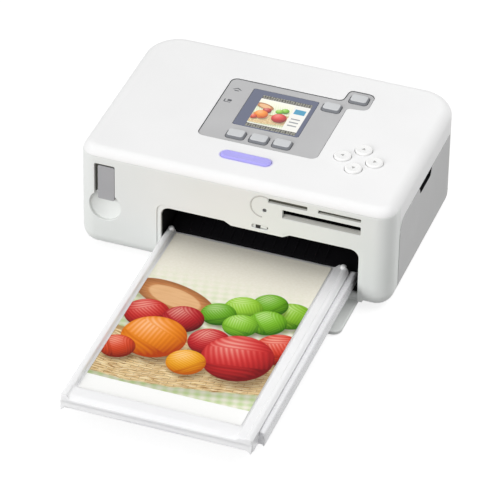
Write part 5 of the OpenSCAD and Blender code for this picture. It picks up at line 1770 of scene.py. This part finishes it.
@dataclass
class Cassette:
    """Milky paper cassette with the finished print on its lid."""

    paint: Materials
    lid_end: float = 23.0
    lid_right: float = 64.4
    sheet: tuple = (-35.1, 53.9, -122.4, 21.1)  # left, right, front and rear of the print
    tab: float = 12.5  # blank strip at each end of the print
    # Radius and height of the lid knobs' rings
    knob: tuple = ((0.5, 20.2), (1.1, 20.1), (1.5, 19.8), (1.6, 19.4), (1.6, 17.8))
    flange: float = 3.6  # width of the tray's flange at the right of its front

    def relief(self, points: Points) -> np.ndarray:
        """Height of the lid's face above its floor."""
        x, y = points[:, 0], points[:, 1]
        x0, x1, y0 = CASSETTE[0], self.lid_right, CASSETTE[2]

        def step(value: np.ndarray, start: float, end: float) -> np.ndarray:
            """0 before start, 1 after end."""
            t = np.clip((value - start) / (end - start), 0, 1)
            return t * t * (3 - 2 * t)

        left = 3.0 * (1 - step(x, x0 + 3.5, x0 + 4.3)) * (0.75 + 0.25 * step(x, x0, x0 + 1.2))
        right = 2.5 * step(x, 55.3, 56.1) + 0.5 * step(x, 60.2, 61.0) - 1.0 * step(x, 62.6, x1)
        front = 2.2 * (1 - step(y, y0 + 10.4, y0 + 11.5)) * (0.35 + 0.65 * step(y, y0, y0 + 4.0))
        return np.maximum(np.maximum(left, right), front)

    def build(self) -> None:
        """Builds lid, tray and print."""
        self.lid()
        self.tray()
        self.print()

    def lid(self) -> None:
        """Lid with its rims, knobs, and skirts that end in points at the front corners."""
        x0, x1, y0 = CASSETTE[0] + 0.2, self.lid_right, CASSETTE[2] + 0.5
        y1 = self.lid_end
        loop = fillet([
            (x0, y0, 1.2), (x1, y0, 1.2), (x1, y1 - 3.5, 2.5), (x1 - 4.0, y1, 2.5), (x0, y1, 1.0),
        ])
        columns = [x0 + a for a in (0.6, 1.1, 2.2, 3.3, 3.5, 3.7, 3.9, 4.1)]
        columns += [55.3, 55.5, 55.7, 55.9, 56.1, 58.0, 60.2, 60.4, 60.6, 60.8, 61.0, 62.0, 62.6,
                    63.0, 63.4, 63.8]
        front = np.array((0.7, 1.5, 2.3, 3.1, 4.0, 7.0, 9.9, 10.2, 10.45, 10.7, 11.0))
        ys = np.concatenate((y0 + front, np.arange(y0 + 16, y1, 6.0)))
        lines = [np.array([(x, y) for y in ys]) for x in columns]
        xs = np.arange(x0 + 8, x1 - 14, 6.0)
        lines += [np.array([(x, y) for x in xs]) for y in ys[:len(front)]]
        thick = LID_TOP - LID_Z
        plane = Plane((0, 0, LID_TOP), lift=self.relief, thick=thick)
        shape = skin(plane, [Edge(split(loop, 2.0), roll_in(0.4, thick, 4, 0.3))], lines)
        for cx, cy in ((x0 + 2.5, y1 - 2.0), (60.6, y1 - 2.0)):
            rings = []
            for radius, z in self.knob:
                knob = disc(cx, cy, radius, 24)
                rings.append(np.column_stack((knob, np.full(24, z))))
            shape.join(loft(rings))
        self.skirts(shape, x0, x1, y0)
        piece("cassette_lid_moulding", shape, [self.paint[MILKY]], "cassette",
              ["cassette_lid"])

    @staticmethod
    def skirts(shape: Shape, x0: float, x1: float, y0: float) -> None:
        """Adds the front skirt with its gentle wave and the short right skirt.

        Args:
            shape: The lid, to which they are added.
            x0: Left end of the lid.
            x1: Right end of the lid.
            y0: Front edge of the lid.
        """
        wave = [
            (x, 12.0 - 0.45 * math.sin((x - x0) / (x1 - x0) * 9.0))
            for x in np.linspace(x0 + 5, x1 - 6, 40)
        ]
        front = [(x0 + 0.2, 15.6), (x0 + 0.2, 9.6), (x0 + 0.7, 9.3), (x0 + 2.6, 11.6), *wave,
                 (x1 - 3.2, 11.4), (x1 - 1.0, 9.5), (x1 - 0.5, 9.7), (x1 - 0.2, 15.6)]
        plane = Plane((0, y0 - 0.05, 0), (1, 0, 0), (0, 0, 1))
        shape.join(skin(plane, [Edge(tidy(np.array(front)), roll_in(0.35, 1.5, 4, 0.3))]))
        side = [(y0 + 1.0, 15.2), (y0 + 1.0, 10.4), (y0 + 3.5, 11.4), (y0 + 9.0, 11.6),
                (y0 + 12.0, 12.2), (y0 + 24.0, 12.6), (y0 + 25.0, 15.2)]
        plane = Plane((x1 - 0.05, 0, 0), (0, 1, 0), (0, 0, 1))
        shape.join(skin(plane, [Edge(split(np.array(side), 1.5), roll_in(0.3, 1.5, 4, 0.3))]))

    def tray(self) -> None:
        """Tray under the lid: floor and walls; its right wall stands proud of the lid."""
        x0, x1, y0, y1 = CASSETTE
        front, left = y0 + 3.0, x0 + 0.6
        wall = x1 - self.flange
        outer = fillet([(left, front, 1.5), (wall, front, 1.5), (wall, front + 7.6, 0.6),
                        (x1, front + 7.6, 0.8), (x1, y1, 1.0), (left, y1, 1.0)])
        inner = fillet([(left + 1.5, front + 1.8, 1.0), (x1 - 5.2, front + 1.8, 1.0),
                        (x1 - 5.2, front + 9.4, 0.6), (x1 - 1.8, front + 9.4, 1.0),
                        (x1 - 1.8, y1 - 1.6, 0.6), (left + 1.5, y1 - 1.6, 0.6)])
        shape = skin(Plane((0, 0, LID_Z - 2.2)), [
            Edge(split(outer, 6.0), roll_in(0.4, 3.0, 4, 0.3)),
            Edge(split(inner, 6.0)[::-1], roll_in(0.3, 3.0, 4, 0.2)),
        ])
        shape.join(skin(Plane((0, 0, 10.2)), [
            Edge(split(shift(outer, 0.3), 6.0), roll_in(0.2, 0.98, 3, 0.2))]))
        back = y1 - 4
        high = fillet([
            (left, front, 1.5), (wall, front, 1.5), (wall, front + 7.6, 0.6),
            (x1, front + 7.6, 0.8), (x1, back, 0.8), (x1 - 1.8, back, 0.2),
            (x1 - 1.8, front + 9.4, 1.0), (x1 - 5.2, front + 9.4, 0.6),
            (x1 - 5.2, front + 1.8, 0.6), (left + 1.8, front + 1.8, 1.0), (left + 1.8, back, 0.2),
            (left, back, 0.8)])
        shape.join(skin(Plane((0, 0, LID_Z - 0.02)), [
            Edge(split(high, 4.0), roll_in(0.25, 2.4, 3, 0.2))]))
        flange = fillet([(x1 - 3.35, front + 8.0, 0.5), (x1 - 0.1, front + 8.0, 0.6),
                         (x1 - 0.1, 22.0, 0.8), (x1 - 3.35, 22.0, 0.5)])
        shape.join(skin(Plane((0, 0, 17.0)), [Edge(split(flange, 4.0), roll_in(0.9, 3.4, 5, 0.2))]))
        shape.join(self.point(x1 - 1.0, front + 8.6))
        piece("cassette_tray_moulding", shape, [self.paint[MILKY_TRAY]], "cassette",
              ["cassette_tray"])

    @staticmethod
    def point(x: float, y: float) -> Shape:
        """The tapered point at the tray's right front corner.

        Args:
            x: About the middle of the point at its top, to the right.
            y: Middle of the point at its top, to the rear.

        Returns:
            The shape.
        """
        rings = []
        for z, wide, out in (
            (14.0, 0.95, 0.0), (12.0, 0.9, 0.3), (10.2, 0.6, 0.8), (9.2, 0.25, 1.1),
        ):
            loop = rounded(x + 0.9 - wide, y - out, 2 * wide, 1.2 + wide, 0.2 * wide, 4)
            rings.append(np.column_stack((loop, np.full(len(loop), z))))
        return loft(rings)

    def print(self) -> None:
        """Finished print with a soft bow."""
        x0, x1, y0, y1 = self.sheet

        def bow(points: Points) -> np.ndarray:
            """The print lifts a little at its long edges."""
            across = (points[:, 0] - (x0 + x1) / 2) / ((x1 - x0) / 2)
            return 0.12 + 0.25 * across**4

        loop = rounded((x0 + x1) / 2, (y0 + y1) / 2, x1 - x0, y1 - y0, 0.4, 3)
        ys = np.arange(y0 + 3, y1, 7.0)
        lines = [np.array([(x, y) for y in ys]) for x in np.linspace(x0 + 2, x1 - 2, 16)]
        plane = Plane((0, 0, LID_TOP + 0.25), lift=bow)
        rim = [(0.05, 0), (0, 0.06), (0, 0.19), (0.05, 0.25)]
        shape = skin(plane, [Edge(split(loop, 3.0), rim)], lines)
        picture = WoolPicture(x0, y0 + self.tab, x1, y1 - self.tab, WOOL)
        finish = PrintFinish("glossy_dye_print", picture).build()
        piece("finished_print", shape, [finish], "cassette", ["printed_sheet"])


def dress_cad_nodes(paint: Materials) -> None:
    """Gives each CAD node that stays in view the material of its slot."""
    slots = {s["node"]: s["material_slot"] for s in frame["record"]["subparts"]}
    for name, node in frame["nodes"].items():
        if node.hide_render:
            continue
        node.data.materials.clear()
        finish = SLOT_FINISHES.get(slots[name], BLACK_ABS)
        # CAD parts of black plastic take the near-black painted shade
        node.data.materials.append(paint[BLACK_SHADE if finish is BLACK_ABS else finish])
        LOG.info("%s keeps its CAD shape, slot %s", name, slots[name])


# The studio ------------------------------------------------------------------------------


@dataclass
class Studio:
    """Pale floor, soft light and the camera at the photograph's angle."""

    azimuth: float = 19.09
    elevation: float = 36.323
    roll: float = 1.125
    scale: float = 1.829  # pixels per millimetre at the aim
    aim: tuple[float, float] = (93.714, 3.295)
    distance: float = 1000 / 0.463
    width: int = 500
    # Name, place and aim in metres, size in metres, power in watts
    lamps: tuple = (
        ("back_key", (0.5, 0.2, 0.85), (0.02, 0.0, 0.03), 0.7, 4.15),
        ("front_left", (-1.0, -1.5, 0.75), (0, 0.0, 0.03), 1.0, 23.0),
    )

    def camera(self) -> None:
        """Makes the camera from the fitted angles."""
        az, el, roll = (math.radians(a) for a in (self.azimuth, self.elevation, self.roll))
        back = Vector((math.sin(az) * math.cos(el), -math.cos(az) * math.cos(el), math.sin(el)))
        right = Vector((0, 0, 1)).cross(back).normalized()
        up = back.cross(right)
        turned_right = math.cos(roll) * right + math.sin(roll) * up
        turned_up = -math.sin(roll) * right + math.cos(roll) * up
        place = turned_right * self.aim[0] + turned_up * self.aim[1] + back * self.distance
        place += Vector((-SIDE, FRONT, 0))
        data = bpy.data.cameras.new("camera")
        data.sensor_width = 36.0
        data.lens = self.scale * self.distance * data.sensor_width / self.width
        data.clip_start, data.clip_end = 0.05, 20.0
        made = bpy.data.objects.new("camera", data)
        axes = Matrix((turned_right, turned_up, back)).transposed()
        made.matrix_world = Matrix.Translation(place * MM) @ axes.to_4x4()
        bpy.context.scene.collection.objects.link(made)
        bpy.context.scene.camera = made

    @staticmethod
    def lamp(
        name: str, place: Sequence[float], aim: Sequence[float], size: float, power: float
    ) -> None:
        """Adds one soft square lamp.

        Args:
            name: Name of the lamp.
            place: Where it stands, in metres.
            aim: The point it faces, in metres.
            size: Length of its sides in metres.
            power: Watts.
        """
        data = bpy.data.lights.new(name, "AREA")
        data.shape, data.size, data.energy = "SQUARE", size, power
        made = bpy.data.objects.new(name, data)
        made.location = place
        made.rotation_euler = (Vector(aim) - Vector(place)).to_track_quat("-Z", "Y").to_euler()
        made.visible_glossy = False
        bpy.context.scene.collection.objects.link(made)

    def build(self) -> None:
        """Builds camera, floor, world and lamps."""
        self.camera()
        scene = bpy.context.scene
        scene.view_settings.view_transform = "Standard"
        world = bpy.data.worlds.new("studio")
        scene.world = world
        world.use_nodes = True
        tree = world.node_tree
        tree.nodes.clear()
        path = add_node(tree, "ShaderNodeLightPath")
        soft = add_node(tree, "ShaderNodeBackground", {"Color": (1, 1, 1, 1), "Strength": 0.45})
        white = add_node(tree, "ShaderNodeBackground", {"Color": (1, 1, 1, 1), "Strength": 1.0})
        seen = self.seen(tree, path)
        mixed = add_node(tree, "ShaderNodeMixShader",
                         {0: seen, 1: soft.outputs[0], 2: white.outputs[0]})
        add_node(tree, "ShaderNodeOutputWorld", {"Surface": mixed.outputs[0]})
        self.floor()
        for lamp in self.lamps:
            self.lamp(*lamp)

    @staticmethod
    def seen(tree: bpy.types.NodeTree, path: bpy.types.Node) -> bpy.types.NodeSocket:
        """1 for rays that show the background: camera, glossy and transmission rays."""
        do = Maths(tree)
        first = do("MAXIMUM", path.outputs["Is Camera Ray"], path.outputs["Is Glossy Ray"])
        return do("MAXIMUM", first, path.outputs["Is Transmission Ray"])

    def floor(self) -> None:
        """Adds the pale floor, which keeps the object's shadow."""
        mesh = bpy.data.meshes.new("floor")
        reach, z = 6.0, -0.0004
        corners = ((-reach, -reach, z), (reach, -reach, z), (reach, reach, z), (-reach, reach, z))
        mesh.from_pydata(corners, [], [(0, 1, 2, 3)])
        made = bpy.data.objects.new("floor", mesh)
        bpy.context.scene.collection.objects.link(made)
        paper = bpy.data.materials.new("white_background_paper")
        paper.use_nodes = True
        tree = paper.node_tree
        tree.nodes.clear()
        path = add_node(tree, "ShaderNodeLightPath")
        matt = add_node(tree, "ShaderNodeBsdfDiffuse", {"Color": linear("#A0A0A0")})
        glow = add_node(tree, "ShaderNodeEmission", {"Color": (1, 1, 1, 1), "Strength": 0.8})
        black = add_node(tree, "ShaderNodeEmission", {"Color": (0, 0, 0, 1), "Strength": 0.0})
        extra = add_node(tree, "ShaderNodeMixShader",
                         {0: self.seen(tree, path), 1: black.outputs[0], 2: glow.outputs[0]})
        both = add_node(tree, "ShaderNodeAddShader", {0: matt.outputs[0], 1: extra.outputs[0]})
        add_node(tree, "ShaderNodeOutputMaterial", {"Surface": both.outputs[0]})
        mesh.materials.append(paper)


def main() -> None:
    """Builds the studio and every piece, in order."""
    logging.basicConfig(level=logging.INFO, format="%(name)s: %(message)s")
    paint = Materials()
    Studio().build()
    panel = ControlPanel(paint)
    Casing(paint, panel).build()
    panel.build()
    FrontDetails(paint).build()
    FrontCover(paint).build()
    ExitGuide(paint).build()
    Cassette(paint).build()
    dress_cad_nodes(paint)


if __name__ == "__main__":
    main()
